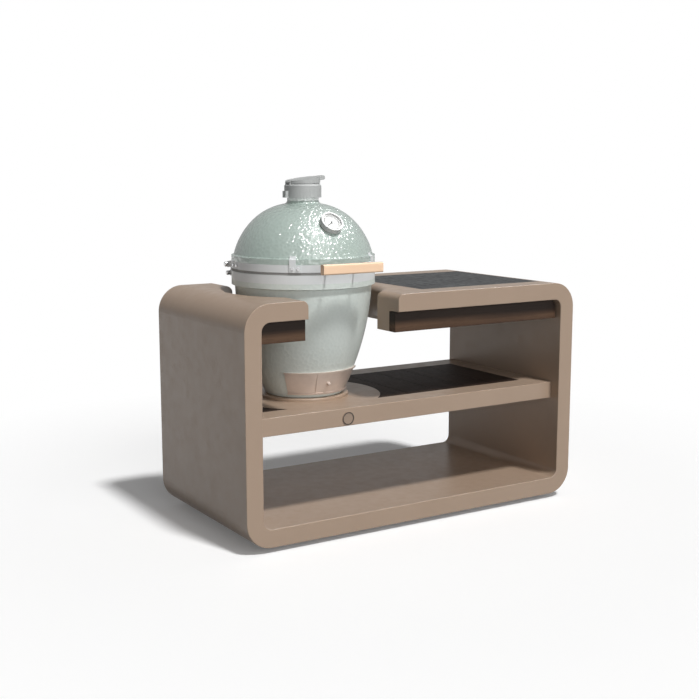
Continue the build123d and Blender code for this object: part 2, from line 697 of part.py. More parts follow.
# Cooker base: a turned ceramic pot with a bulge under its band and an air mouth low at the front
with BuildPart() as base:
    with BuildSketch(radial_plane(0)):
        with BuildLine():
            inner_belly = base_radius(LOWER_BULGE_BOTTOM, -BASE_WALL)
            Polyline((0, BASE_FLOOR), (0, PLATE_TOP), (BASE_FOOT_RADIUS, PLATE_TOP))
            ThreePointArc(*base_side(PLATE_TOP, LOWER_BULGE_BOTTOM))
            Polyline(
                (base_radius(LOWER_BULGE_BOTTOM), LOWER_BULGE_BOTTOM),
                (BULGE_RADIUS, LOWER_BULGE_BOTTOM + BULGE_STEP),
                (BULGE_RADIUS, LOWER_BAND_BOTTOM),
                (RIM_RADIUS, LOWER_BAND_BOTTOM),
                (RIM_RADIUS, BASE_RIM),
                (inner_belly, BASE_RIM),
                (inner_belly, LOWER_BULGE_BOTTOM),
            )
            ThreePointArc(*base_side(BASE_FLOOR, LOWER_BULGE_BOTTOM, -BASE_WALL))
            Line((base_radius(BASE_FLOOR, -BASE_WALL), BASE_FLOOR), (0, BASE_FLOOR))
        make_face()
    revolve(axis=COOKER_AXIS)
    foot_edge = base.edges().sort_by_distance((RECESS_X + BASE_FOOT_RADIUS, 0, PLATE_TOP))[0]
    fillet(foot_edge, BASE_FOOT_ROUND)
    mouth_low = DRAFT_BOTTOM_Z + 2 * DRAFT_RAIL
    mouth_high = DRAFT_TOP_Z - 2 * DRAFT_RAIL
    mouth_half = base_radius(DRAFT_BOTTOM_Z) * math.sin(math.radians(DRAFT_MOUTH_ANGLE))
    block(
        (RECESS_X - mouth_half, RECESS_X + mouth_half),
        (-BELLY_RADIUS, -FIRE_BOX_FOOT_RADIUS),
        (mouth_low, mouth_high),
        mode=Mode.SUBTRACT,
    )

with BuildPart() as base_gasket:
    ring(GASKET_INNER_RADIUS, GASKET_OUTER_RADIUS, BASE_RIM, SPLIT)

with BuildPart() as dome_gasket:
    ring(GASKET_INNER_RADIUS, GASKET_OUTER_RADIUS, DOME_GASKET_BOTTOM, DOME_RIM)

# Inside the base: fire box, fire ring, grate and cooking grid
FIRE_BOX_TOP = BASE_FLOOR + FIRE_BOX_HEIGHT
FIRE_LEDGE = BASE_FLOOR + FIRE_LEDGE_HEIGHT
FIRE_SLOPE = (FIRE_RADIUS - FIRE_BOX_FOOT_RADIUS) / FIRE_BOX_HEIGHT
GRID_Z = FIRE_BOX_TOP + FIRE_RING_HEIGHT

with BuildPart() as fire_box:
    with BuildSketch(radial_plane(0)):
        with BuildLine():
            ledge_radius = FIRE_BOX_FOOT_RADIUS + FIRE_LEDGE_HEIGHT * FIRE_SLOPE - FIRE_WALL
            Polyline(
                (FIRE_HOLE_RADIUS, BASE_FLOOR),
                (FIRE_BOX_FOOT_RADIUS, BASE_FLOOR),
                (FIRE_RADIUS, FIRE_BOX_TOP),
                (FIRE_RADIUS - FIRE_WALL, FIRE_BOX_TOP),
                (ledge_radius, FIRE_LEDGE),
                (FIRE_HOLE_RADIUS, FIRE_LEDGE),
                close=True,
            )
        make_face()
    revolve(axis=COOKER_AXIS)
    block(
        (RECESS_X - FIRE_INLET_WIDTH / 2, RECESS_X + FIRE_INLET_WIDTH / 2),
        (-FIRE_RADIUS, 0),
        (BASE_FLOOR, BASE_FLOOR + FIRE_INLET_HEIGHT),
        mode=Mode.SUBTRACT,
    )

with BuildPart() as fire_ring:
    ring(FIRE_RADIUS - FIRE_WALL, FIRE_RADIUS, FIRE_BOX_TOP, GRID_Z)

with BuildPart() as fire_grate:
    disc(COAL_PLATE_RADIUS, FIRE_LEDGE, FIRE_LEDGE + COAL_PLATE_THICK)
    disc(COAL_HOLE_RADIUS, FIRE_LEDGE, FIRE_LEDGE + COAL_PLATE_THICK, mode=Mode.SUBTRACT)
    for hole_circle, hole_count in zip(COAL_RING_RADII, COAL_RING_COUNTS):
        with Locations((RECESS_X, 0, FIRE_LEDGE + COAL_PLATE_THICK / 2)):
            with PolarLocations(hole_circle, hole_count):
                Cylinder(COAL_HOLE_RADIUS, COAL_PLATE_THICK, mode=Mode.SUBTRACT)

with BuildPart() as cooking_grid:
    with BuildSketch(Plane.XY.offset(GRID_Z)):
        with Locations((RECESS_X, 0)):
            Circle(GRID_RADIUS)
            Circle(GRID_RADIUS - GRID_RIM, mode=Mode.SUBTRACT)
            bar_count = 2 * math.floor((GRID_RADIUS - GRID_RIM) / GRID_PITCH) + 1
            for bar in range(bar_count):
                bar_x = (bar - (bar_count - 1) / 2) * GRID_PITCH
                bar_length = 2 * math.sqrt((GRID_RADIUS - GRID_RIM / 2) ** 2 - bar_x**2)
                with Locations((bar_x, 0)):
                    Rectangle(GRID_BAR, bar_length)
    extrude(amount=GRID_THICK)


def draft_sector(inner_offset, outer_offset, low, high, half_angle, mode=Mode.ADD):
    """A curved plate parallel to the base's side, centred on the front."""
    with BuildSketch(radial_plane(FRONT_AZIMUTH - half_angle)) as section:
        with BuildLine():
            inner_side = base_side(low, high, inner_offset)
            outer_side = base_side(low, high, outer_offset)
            ThreePointArc(*inner_side)
            Line(inner_side[-1], outer_side[-1])
            ThreePointArc(*outer_side)
            Line(outer_side[0], inner_side[0])
        make_face()
    revolve(section.sketch, axis=COOKER_AXIS, revolution_arc=2 * half_angle, mode=mode)


# Draft door: a curved frame with two lipped rails, and the door that slides between them
DOOR_INNER = FIT + DRAFT_SHEET + DRAFT_RUN_GAP
DOOR_OUTER = DOOR_INNER + DRAFT_SHEET
LIP_INNER = DOOR_OUTER + DRAFT_RUN_GAP
LIP_OUTER = LIP_INNER + DRAFT_SHEET

with BuildPart() as draft_frame:
    draft_sector(FIT, LIP_OUTER, DRAFT_BOTTOM_Z, DRAFT_TOP_Z, DRAFT_FRAME_ANGLE)
    draft_sector(
        FIT + DRAFT_SHEET,
        LIP_INNER,
        DRAFT_BOTTOM_Z + DRAFT_SHEET,
        DRAFT_TOP_Z - DRAFT_SHEET,
        DRAFT_FRAME_ANGLE + CUT_OVERRUN,
        mode=Mode.SUBTRACT,
    )
    draft_sector(
        LIP_INNER,
        LIP_OUTER + CUT_OVERRUN,
        DRAFT_BOTTOM_Z + DRAFT_RAIL,
        DRAFT_TOP_Z - DRAFT_RAIL,
        DRAFT_FRAME_ANGLE + CUT_OVERRUN,
        mode=Mode.SUBTRACT,
    )
    block(
        (RECESS_X - mouth_half, RECESS_X + mouth_half),
        (-BELLY_RADIUS, 0),
        (mouth_low, mouth_high),
        mode=Mode.SUBTRACT,
    )

with BuildPart() as draft_door:
    draft_sector(
        DOOR_INNER,
        DOOR_OUTER,
        DRAFT_BOTTOM_Z + DRAFT_SHEET + DRAFT_RUN_GAP,
        DRAFT_TOP_Z - DRAFT_SHEET - DRAFT_RUN_GAP,
        DRAFT_DOOR_ANGLE,
    )
    knob_z = (DRAFT_BOTTOM_Z + DRAFT_TOP_Z) / 2
    knob_offset = (DOOR_INNER + DOOR_OUTER) / 2
    knob_y = -base_radius(knob_z, knob_offset)
    knob_lean = math.asin((BELLY_Z - knob_z) / (BASE_ARC + knob_offset))
    knob_axis = (0, -math.cos(knob_lean), -math.sin(knob_lean))
    rod((RECESS_X, knob_y, knob_z), knob_axis, DRAFT_KNOB_RADIUS, DRAFT_KNOB_LENGTH)
    knob_end = (
        RECESS_X,
        knob_y + DRAFT_KNOB_LENGTH * knob_axis[1],
        knob_z + DRAFT_KNOB_LENGTH * knob_axis[2],
    )
    fillet(draft_door.faces().sort_by_distance(knob_end)[0].edges(), DRAFT_SHEET)


def hinge_ears(ear_x, band_low, band_high, drop=0):
    """Two plates from a band to the hinge pin, with a lobe at a drop below it, to be trimmed by the band."""
    root_y = math.sqrt(BAND_INNER_RADIUS**2 - ear_x**2) - EAR_THICK
    for side in (-1, 1):
        with BuildSketch(Plane.YZ.offset(RECESS_X + side * ear_x)) as outline:
            with BuildLine():
                Polyline(
                    (root_y, band_low + EAR_THICK / 2),
                    (HINGE_Y, SPLIT - drop - EAR_RADIUS),
                    (HINGE_Y, SPLIT + EAR_RADIUS),
                    (root_y, band_high - EAR_THICK / 2),
                    close=True,
                )
            make_face()
            with Locations((HINGE_Y, SPLIT), (HINGE_Y, SPLIT - drop)):
                Circle(EAR_RADIUS)
            with Locations((HINGE_Y, SPLIT)):
                Circle(PIN_RADIUS + RUN_FIT, mode=Mode.SUBTRACT)
        extrude(outline.sketch, amount=EAR_THICK / 2, both=True)


# Bands: a steel strap round each rim, with its hinge ears
with BuildPart() as lower_band:
    hinge_ears(LOWER_EAR_X, LOWER_BAND_BOTTOM, LOWER_BAND_TOP, CLAMP_BOLT_DROP)
    disc(BAND_INNER_RADIUS, LOWER_BAND_BOTTOM, UPPER_BAND_TOP, mode=Mode.SUBTRACT)
    ring(BAND_INNER_RADIUS, BAND_OUTER_RADIUS, LOWER_BAND_BOTTOM, LOWER_BAND_TOP)

with BuildPart() as upper_band:
    hinge_ears(UPPER_EAR_X, UPPER_BAND_BOTTOM, UPPER_BAND_TOP)
    disc(BAND_INNER_RADIUS, LOWER_BAND_BOTTOM, UPPER_BAND_TOP, mode=Mode.SUBTRACT)
    ring(BAND_INNER_RADIUS, BAND_OUTER_RADIUS, UPPER_BAND_BOTTOM, UPPER_BAND_TOP)

with BuildPart() as hinge_pin:
    rod((RECESS_X - PIN_HALF_LENGTH, HINGE_Y, SPLIT), (1, 0, 0), PIN_RADIUS, 2 * PIN_HALF_LENGTH)
    for side in (-1, 1):
        head_x = RECESS_X + side * PIN_HALF_LENGTH
        rod((head_x, HINGE_Y, SPLIT), (-side, 0, 0), PIN_HEAD_RADIUS, PIN_HEAD_THICK)
    for end in (0, -1):
        fillet(hinge_pin.faces().sort_by(Axis.X)[end].edges(), PIN_HEAD_THICK / 2)

# Thermometer: its plane touches the dome, and its normal points up and to the front
TILT = math.radians(THERMO_TILT)
THERMO_NORMAL = (0, -math.cos(TILT), math.sin(TILT))
THERMO_SPOT = (RECESS_X, -DOME_RADIUS * math.cos(TILT), DOME_CENTRE + DOME_RADIUS * math.sin(TILT))
THERMO = Plane(origin=THERMO_SPOT, x_dir=(1, 0, 0), z_dir=THERMO_NORMAL)
DIAL_BACK = SPLIT_GAP + THERMO_BACK
DIAL_FACE = DIAL_BACK + DIAL_THICK
NEEDLE_BACK = DIAL_FACE + NEEDLE_LIFT
CASE_FRONT = SPLIT_GAP + THERMO_DEPTH
GLASS_FRONT = CASE_FRONT - THERMO_WALL
GLASS_BACK = GLASS_FRONT - GLASS_THICK
CASE_BORE = THERMO_RADIUS - THERMO_WALL


def thermo_disc(radius, low, high, mode=Mode.ADD):
    """A disc on the thermometer's axis between two distances from the dome."""
    with BuildSketch(THERMO.offset(low)) as outline:
        Circle(radius)
    extrude(outline.sketch, amount=high - low, mode=mode)


# Dome: a turned ceramic lid with a bulge over its band, a tighter crown, a neck and a thermometer hole
with BuildPart() as dome:
    inner_sphere = DOME_RADIUS - DOME_WALL
    bulge_end = math.sqrt(DOME_RADIUS**2 - (UPPER_BULGE_TOP - DOME_CENTRE) ** 2)
    crown_turn = math.radians(CROWN_ANGLE)
    crown_start = (DOME_RADIUS * math.cos(crown_turn), DOME_CENTRE + DOME_RADIUS * math.sin(crown_turn))
    crown_x = (DOME_RADIUS - CROWN_RADIUS) * math.cos(crown_turn)
    crown_z = DOME_CENTRE + (DOME_RADIUS - CROWN_RADIUS) * math.sin(crown_turn)
    neck_foot = crown_z + math.sqrt(CROWN_RADIUS**2 - (NECK_RADIUS - crown_x) ** 2)
    flue_foot = DOME_CENTRE + math.sqrt(inner_sphere**2 - FLUE_RADIUS**2)
    rim_inner = math.sqrt(inner_sphere**2 - (DOME_RIM - DOME_CENTRE) ** 2)
    with BuildSketch(radial_plane(0)):
        with BuildLine():
            Polyline(
                (rim_inner, DOME_RIM),
                (RIM_RADIUS, DOME_RIM),
                (RIM_RADIUS, UPPER_BAND_TOP),
                (BULGE_RADIUS, UPPER_BAND_TOP),
                (BULGE_RADIUS, UPPER_BULGE_TOP - BULGE_STEP),
                (bulge_end, UPPER_BULGE_TOP),
            )
            RadiusArc((bulge_end, UPPER_BULGE_TOP), crown_start, -DOME_RADIUS)
            RadiusArc(crown_start, (NECK_RADIUS, neck_foot), -CROWN_RADIUS)
            Polyline(
                (NECK_RADIUS, neck_foot),
                (NECK_RADIUS, NECK_TOP),
                (FLUE_RADIUS, NECK_TOP),
                (FLUE_RADIUS, flue_foot),
            )
            RadiusArc((FLUE_RADIUS, flue_foot), (rim_inner, DOME_RIM), inner_sphere)
        make_face()
    revolve(axis=COOKER_AXIS)
    neck_edges = dome.edges().filter_by(GeomType.CIRCLE)
    neck_edge = neck_edges.sort_by_distance((RECESS_X + NECK_RADIUS, 0, neck_foot))[0]
    fillet(neck_edge, NECK_ROUND)
    thermo_disc(THERMO_STEM_RADIUS + FIT, -THERMO_STEM_LENGTH, CASE_FRONT, mode=Mode.SUBTRACT)

with BuildPart() as thermometer_case:
    thermo_disc(THERMO_RADIUS, SPLIT_GAP, CASE_FRONT)
    fillet(thermometer_case.faces().sort_by(Axis(THERMO_SPOT, THERMO_NORMAL))[-1].edges(), THERMO_WALL / 2)
    thermo_disc(CASE_BORE, DIAL_BACK, GLASS_FRONT, mode=Mode.SUBTRACT)
    thermo_disc(CASE_BORE - BEZEL_LIP, GLASS_FRONT, CASE_FRONT, mode=Mode.SUBTRACT)
    thermo_disc(THERMO_STEM_RADIUS, -THERMO_STEM_LENGTH, SPLIT_GAP)

with BuildPart() as thermometer_dial:
    thermo_disc(CASE_BORE - FIT, DIAL_BACK, DIAL_FACE)
    thermo_disc(POST_RADIUS, DIAL_FACE, NEEDLE_BACK + 2 * NEEDLE_THICK)

with BuildPart() as thermometer_needle:
    with BuildSketch(THERMO.offset(NEEDLE_BACK)):
        with Locations(Rotation(0, 0, NEEDLE_REST)):
            with Locations((NEEDLE_LENGTH / 2, 0)):
                Trapezoid(NEEDLE_WIDTH, NEEDLE_LENGTH, NEEDLE_SIDE_ANGLE, rotation=-90)
        Circle(NEEDLE_HUB_RADIUS)
        Circle(POST_RADIUS + RUN_FIT, mode=Mode.SUBTRACT)
    extrude(amount=NEEDLE_THICK)

with BuildPart() as thermometer_glass:
    thermo_disc(CASE_BORE - FIT, GLASS_BACK, GLASS_FRONT)

# Lid handle: two arms on the upper band that carry a wooden bar
BAR_FRONT = -HANDLE_FRONT
BAR_BACK = BAR_FRONT + HANDLE_THICK
BAR_BOTTOM = SPLIT + HANDLE_RISE
BAR_TOP = BAR_BOTTOM + HANDLE_HEIGHT
UPPER_BAND_MIDDLE = (UPPER_BAND_BOTTOM + UPPER_BAND_TOP) / 2
PAD_INNER_RADIUS = BAND_OUTER_RADIUS + FIT
PAD_OUTER_RADIUS = PAD_INNER_RADIUS + ARM_THICK
ARM_ANGLE = math.degrees(math.asin(ARM_X / PAD_OUTER_RADIUS))

with BuildPart() as handle_bar:
    bar_x = (RECESS_X - HANDLE_LENGTH / 2, RECESS_X + HANDLE_LENGTH / 2)
    block(bar_x, (BAR_FRONT, BAR_BACK), (BAR_BOTTOM, BAR_TOP))
    fillet(handle_bar.edges().filter_by(Axis.X), HANDLE_ROUND)


def band_sector(points, middle_angle, half_angle):
    """A piece bent round the cooker from its outline, centred at an angle from the front."""
    with BuildSketch(radial_plane(FRONT_AZIMUTH + middle_angle - half_angle)) as section:
        with BuildLine():
            Polyline(*points, close=True)
        make_face()
    revolve(section.sketch, axis=COOKER_AXIS, revolution_arc=2 * half_angle)


def band_bolt(angle, radius, height):
    """A bolt head that points outwards at an angle from the front, on a band or a pad."""
    azimuth = math.radians(FRONT_AZIMUTH + angle)
    outwards = (math.cos(azimuth), math.sin(azimuth), 0)
    spot = (RECESS_X + radius * outwards[0], radius * outwards[1], height)
    rod(spot, outwards, BOLT_RADIUS, BOLT_HEAD)


with BuildPart() as handle_arms:
    arm_low = UPPER_BAND_MIDDLE - ARM_HEIGHT / 2
    arm_high = UPPER_BAND_MIDDLE + ARM_HEIGHT / 2
    pad_points = (
        (PAD_INNER_RADIUS, arm_low),
        (PAD_OUTER_RADIUS, arm_low),
        (PAD_OUTER_RADIUS, arm_high),
        (PAD_INNER_RADIUS, arm_high),
    )
    root_y = -math.sqrt(PAD_OUTER_RADIUS**2 - (ARM_X + ARM_THICK / 2) ** 2)
    for side in (-1, 1):
        band_sector(pad_points, side * ARM_ANGLE, ARM_PAD_ANGLE)
        arm_x = RECESS_X + side * ARM_X
        block((arm_x - ARM_THICK / 2, arm_x + ARM_THICK / 2), (BAR_BACK, root_y), (arm_low, arm_high))
        block(
            (arm_x - ARM_FOOT_WIDTH / 2, arm_x + ARM_FOOT_WIDTH / 2),
            (BAR_BACK, BAR_BACK + ARM_THICK),
            (arm_low, arm_high),
        )

# Straps that rise from the upper band over the dome's bulge
STRAP_INNER_RADIUS = BAND_OUTER_RADIUS + FIT
STRAP_OUTER_RADIUS = STRAP_INNER_RADIUS + STRAP_THICK
STRAP_TOP = UPPER_BULGE_TOP + STRAP_RISE

with BuildPart() as rim_straps:
    strap_inside = [
        (STRAP_INNER_RADIUS, UPPER_BAND_BOTTOM),
        (STRAP_INNER_RADIUS, UPPER_BULGE_TOP - BULGE_STEP),
        (bulge_end + STRAP_SEAT, UPPER_BULGE_TOP),
        (math.sqrt(DOME_RADIUS**2 - (STRAP_TOP - DOME_CENTRE) ** 2) + STRAP_SEAT, STRAP_TOP),
    ]
    strap_outside = [(radius + STRAP_THICK, height) for radius, height in reversed(strap_inside)]
    strap_pad = (
        (STRAP_INNER_RADIUS, UPPER_BAND_BOTTOM),
        (STRAP_INNER_RADIUS, UPPER_BAND_TOP),
        (STRAP_OUTER_RADIUS, UPPER_BAND_TOP),
        (STRAP_OUTER_RADIUS, UPPER_BAND_BOTTOM),
    )
    pad_half = (STRAP_HALF_ANGLE + STRAP_PAD_ANGLE) / 2
    for side in (-1, 1):
        band_sector(strap_inside + strap_outside, side * STRAP_ANGLE, STRAP_HALF_ANGLE)
        band_sector(strap_pad, side * (STRAP_ANGLE + STRAP_HALF_ANGLE - pad_half), pad_half)

with BuildPart() as upper_band_bolts:
    for side in (-1, 1):
        for angle in SIDE_BOLT_ANGLES:
            band_bolt(side * angle, BAND_OUTER_RADIUS, UPPER_BAND_MIDDLE)
        for angle in (STRAP_ANGLE, STRAP_ANGLE - STRAP_BOLT_ANGLE):
            band_bolt(side * angle, STRAP_OUTER_RADIUS, UPPER_BAND_MIDDLE)
        for angle in (ARM_ANGLE - ARM_BOLT_ANGLE, ARM_ANGLE + ARM_BOLT_ANGLE):
            band_bolt(side * angle, PAD_OUTER_RADIUS, UPPER_BAND_MIDDLE)

with BuildPart() as lower_band_bolts:
    clamp_root = LOWER_EAR_X + EAR_THICK / 2
    for side in (-1, 1):
        spot = (RECESS_X + side * clamp_root, HINGE_Y, SPLIT - CLAMP_BOLT_DROP)
        rod(spot, (side, 0, 0), CLAMP_BOLT_RADIUS, CLAMP_BOLT_REACH - clamp_root)
    for end in (0, -1):
        fillet(lower_band_bolts.faces().sort_by(Axis.X)[end].edges(), CLAMP_BOLT_RADIUS / 2)

# Chimney cap: a ring that laps over the neck, with a clamp at its side and ears for the flap's pin
CAP_BOTTOM = NECK_TOP - CAP_LAP
CAP_TOP = CAP_BOTTOM + CAP_HEIGHT
FLAP_BOTTOM = CAP_TOP + FLAP_GAP
FLAP_PIN = (RECESS_X - FLAP_PIN_X, 0, CAP_TOP + FLAP_PIN_RISE)
FLAP_EAR_Y = FLAP_BARREL_LENGTH / 2 + FLAP_GAP
FLAP_EAR_END = FLAP_EAR_Y + FLAP_EAR_THICK
FLAP_SLOPE = (FLAP_THICK - FLAP_THIN) / (FLAP_REACH + FLAP_RADIUS)


def flap_rod(radius, y_limits, mode=Mode.ADD):
    """A round rod on the flap's pin between two y."""
    rod((FLAP_PIN[0], y_limits[0], FLAP_PIN[2]), (0, 1, 0), radius, y_limits[1] - y_limits[0], mode)


def flap_top(distance):
    """A point of the flap's sloping top at a distance to the right of the cooker's axis."""
    return (RECESS_X + distance, FLAP_BOTTOM + FLAP_THIN + (distance + FLAP_RADIUS) * FLAP_SLOPE)


with BuildPart() as cap_ring:
    disc(CAP_RADIUS, CAP_BOTTOM, CAP_TOP)
    chamfer(cap_ring.edges().group_by(Axis.Z)[-1], CAP_CHAMFER)
    block(
        (RECESS_X - CAP_RADIUS - CLAMP_REACH, RECESS_X - NECK_RADIUS),
        (-CLAMP_WIDTH / 2, CLAMP_WIDTH / 2),
        (CAP_BOTTOM, CAP_BOTTOM + CLAMP_HEIGHT),
    )
    for side in (-1, 1):
        ear_y = sorted((side * FLAP_EAR_Y, side * FLAP_EAR_END))
        ear_x = (FLAP_PIN[0] - FLAP_BARREL_RADIUS, FLAP_PIN[0] + FLAP_BARREL_RADIUS)
        block(ear_x, ear_y, (CAP_TOP - CAP_CHAMFER, FLAP_PIN[2]))
        flap_rod(FLAP_BARREL_RADIUS, ear_y)
    disc(NECK_RADIUS + FIT, CAP_BOTTOM, NECK_TOP + FIT, mode=Mode.SUBTRACT)
    disc(FLUE_RADIUS, NECK_TOP, CAP_TOP, mode=Mode.SUBTRACT)
    flap_rod(FLAP_PIN_RADIUS + FIT, (-CAP_RADIUS, CAP_RADIUS), mode=Mode.SUBTRACT)

with BuildPart() as cap_pin:
    flap_rod(FLAP_PIN_RADIUS, (-FLAP_EAR_END, FLAP_EAR_END))

# Chimney flap: a wedge over the flue, its barrel on the pin and a sloping arm to lift it by
with BuildPart() as cap_flap:
    with BuildSketch(Plane.XZ.offset(FLAP_RADIUS)):
        with BuildLine():
            Polyline(
                (RECESS_X - FLAP_RADIUS, FLAP_BOTTOM),
                (RECESS_X + FLAP_RADIUS, FLAP_BOTTOM),
                flap_top(FLAP_RADIUS),
                flap_top(-FLAP_RADIUS),
                close=True,
            )
        make_face()
    extrude(amount=-2 * FLAP_RADIUS)
    disc(FLAP_RADIUS, FLAP_BOTTOM, FLAP_BOTTOM + FLAP_THICK, mode=Mode.INTERSECT)
    relief_y = FLAP_EAR_END + FLAP_RELIEF
    relief_x = FLAP_PIN[0] + FLAP_BARREL_RADIUS + FLAP_RELIEF
    block(
        (RECESS_X - FLAP_RADIUS, relief_x),
        (-relief_y, relief_y),
        (FLAP_BOTTOM, FLAP_BOTTOM + FLAP_THICK),
        mode=Mode.SUBTRACT,
    )
    barrel_y = (-FLAP_BARREL_LENGTH / 2, FLAP_BARREL_LENGTH / 2)
    block((FLAP_PIN[0], relief_x), barrel_y, (FLAP_PIN[2] - FLAP_RELIEF, FLAP_PIN[2] + FLAP_RELIEF))
    flap_rod(FLAP_BARREL_RADIUS, barrel_y)
    with BuildSketch(Plane.XZ.offset(FLAP_ARM_WIDTH / 2)) as arm_outline:
        with BuildLine():
            arm_start = flap_top(FLUE_RADIUS)
            arm_end = flap_top(FLAP_REACH)
            Polyline(
                arm_start,
                arm_end,
                (arm_end[0], arm_end[1] - FLAP_ARM_THICK),
                (arm_start[0], arm_start[1] - FLAP_ARM_THICK),
                close=True,
            )
        make_face()
        fillet(arm_outline.vertices().group_by(Axis.X)[-1], FLAP_ARM_ROUND)
    extrude(amount=-FLAP_ARM_WIDTH)
    flap_rod(FLAP_PIN_RADIUS + RUN_FIT, barrel_y, mode=Mode.SUBTRACT)


def biarc(start, start_tangent, end, end_tangent):
    """Two tangent arcs from one point and direction to another, inside the line being built."""
    chord = end - start
    square = 2 * (1 - start_tangent.dot(end_tangent))
    along = chord.dot(start_tangent + end_tangent)
    reach = (-along + math.sqrt(along**2 + square * chord.dot(chord))) / square
    early_corner = start + start_tangent * reach
    late_corner = end - end_tangent * reach
    middle = (early_corner + late_corner) / 2
    TangentArc(start, middle, tangent=start_tangent)
    TangentArc(middle, end, tangent=(late_corner - early_corner).normalized())


def spring_point(turns):
    """A point of the spring's centre line after a number of turns from the bottom of the coil."""
    angle = 2 * math.pi * turns
    return Vector(
        RECESS_X + SPRING_X + turns * SPRING_PITCH,
        HINGE_Y + SPRING_RADIUS * math.sin(angle),
        SPLIT - SPRING_RADIUS * math.cos(angle),
    )


def spring_tangent(turns):
    """The direction of the spring's centre line after a number of turns."""
    angle = 2 * math.pi * turns
    rise = SPRING_PITCH / (2 * math.pi)
    return Vector(rise, SPRING_RADIUS * math.cos(angle), SPRING_RADIUS * math.sin(angle)).normalized()


# Hinge springs: wire coiled round the pin, with a leg to each band
SPRING_END = SPRING_TURNS + SPRING_HALF_TURN
with BuildPart() as right_spring:
    with BuildLine() as spring_line:
        first = spring_point(0)
        last = spring_point(SPRING_END)
        Line(first - spring_tangent(0) * SPRING_LEG, first)
        for quarter in range(4 * SPRING_TURNS + 2):
            here = quarter / 4
            there = here + 1 / 4
            biarc(spring_point(here), spring_tangent(here), spring_point(there), spring_tangent(there))
        Line(last, last + spring_tangent(SPRING_END) * SPRING_LEG)
    with BuildSketch(Plane(origin=first - spring_tangent(0) * SPRING_LEG, z_dir=spring_tangent(0))):
        Circle(SPRING_WIRE_RADIUS)
    sweep()

with BuildPart() as hinge_springs:
    add(right_spring.part)
    mirror(right_spring.part, about=RECESS_MIRROR)

coil_steps = [step / 24 for step in range(int(24 * SPRING_END) + 1)]
coil_points = [spring_point(turns) for turns in coil_steps]
coil_gap = min(
    (coil_points[late] - coil_points[early]).length
    for early in range(len(coil_points))
    for late in range(early + 12, len(coil_points))
)
print("least gap between the spring's turns:", round(coil_gap - 2 * SPRING_WIRE_RADIUS, 3))

pieces = {
    "outer_shell": outer_shell,
    "inner_shell": inner_shell,
    "front_face": front_face,
    "rear_face": rear_face,
    "left_top_deck": left_top_deck,
    "right_top_deck": right_top_deck,
    "left_recess_wall": left_recess_wall,
    "right_recess_wall": right_recess_wall,
    "slab_ribs": slab_ribs,
    "worktop_ledge": worktop_ledge,
    "worktop_panel": worktop_panel,
    "foot_pads": foot_pads,
    "foot_stems": foot_stems,
    "foot_nuts": foot_nuts,
    "drawer_front": drawer_front,
    "drawer_tray": drawer_tray,
    "drawer_hangers": drawer_hangers,
    "runner_cabinet_left": runner_cabinet_left,
    "runner_cabinet_right": runner_cabinet_right,
    "runner_middle_left": runner_middle_left,
    "runner_middle_right": runner_middle_right,
    "runner_drawer_left": runner_drawer_left,
    "runner_drawer_right": runner_drawer_right,
    "slab_rear_fascia": slab_rear_fascia,
    "stub_front_fascia": stub_front_fascia,
    "stub_rear_fascia": stub_rear_fascia,
    "shelf_tray": shelf_tray,
    "shelf_underside": shelf_underside,
    "shelf_cleats": shelf_cleats,
    "shelf_slats": shelf_slats,
    "cooker_plate": cooker_plate,
    "shelf_badge": shelf_badge,
    "base": base,
    "base_gasket": base_gasket,
    "lower_band": lower_band,
    "fire_box": fire_box,
    "fire_ring": fire_ring,
    "fire_grate": fire_grate,
    "cooking_grid": cooking_grid,
    "draft_frame": draft_frame,
    "draft_door": draft_door,
    "hinge_pin": hinge_pin,
    "hinge_springs": hinge_springs,
    "dome": dome,
    "dome_gasket": dome_gasket,
    "upper_band": upper_band,
    "handle_arms": handle_arms,
    "rim_straps": rim_straps,
    "handle_bar": handle_bar,
    "upper_band_bolts": upper_band_bolts,
    "lower_band_bolts": lower_band_bolts,
    "thermometer_case": thermometer_case,
    "thermometer_dial": thermometer_dial,
    "thermometer_needle": thermometer_needle,
    "thermometer_glass": thermometer_glass,
    "cap_ring": cap_ring,
    "cap_flap": cap_flap,
    "cap_pin": cap_pin,
}

os.makedirs("parts", exist_ok=True)
for name, piece in pieces.items():
    piece.part.label = name
    export_step(piece.part, f"parts/{name}.step")
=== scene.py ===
import json
import math

import bmesh
import bpy
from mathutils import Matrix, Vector


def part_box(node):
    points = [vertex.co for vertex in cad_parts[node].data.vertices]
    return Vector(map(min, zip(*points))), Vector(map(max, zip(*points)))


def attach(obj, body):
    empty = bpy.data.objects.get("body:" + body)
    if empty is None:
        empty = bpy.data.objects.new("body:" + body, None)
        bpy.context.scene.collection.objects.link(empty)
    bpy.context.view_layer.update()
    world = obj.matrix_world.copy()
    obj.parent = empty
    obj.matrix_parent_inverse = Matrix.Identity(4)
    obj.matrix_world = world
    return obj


# Outdoor kitchen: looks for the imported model, in metres.
# Every material is procedural and reads the object's own coordinates, so it moves with its body.

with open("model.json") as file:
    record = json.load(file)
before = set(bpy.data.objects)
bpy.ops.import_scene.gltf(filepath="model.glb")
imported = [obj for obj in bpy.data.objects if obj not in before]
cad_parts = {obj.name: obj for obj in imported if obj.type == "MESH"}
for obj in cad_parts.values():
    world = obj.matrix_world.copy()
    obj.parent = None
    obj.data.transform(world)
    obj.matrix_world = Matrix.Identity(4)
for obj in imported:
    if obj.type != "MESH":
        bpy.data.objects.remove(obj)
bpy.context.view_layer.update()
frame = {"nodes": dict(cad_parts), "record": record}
nodes = frame["nodes"]


def tone(red, green, blue):
    """A colour written as it looks on a screen, 0 to 255, as linear values."""
    linear = []
    for level in (red, green, blue):
        share = level / 255
        linear.append(share / 12.92 if share <= 0.04045 else ((share + 0.055) / 1.055) ** 2.4)
    return (*linear, 1.0)


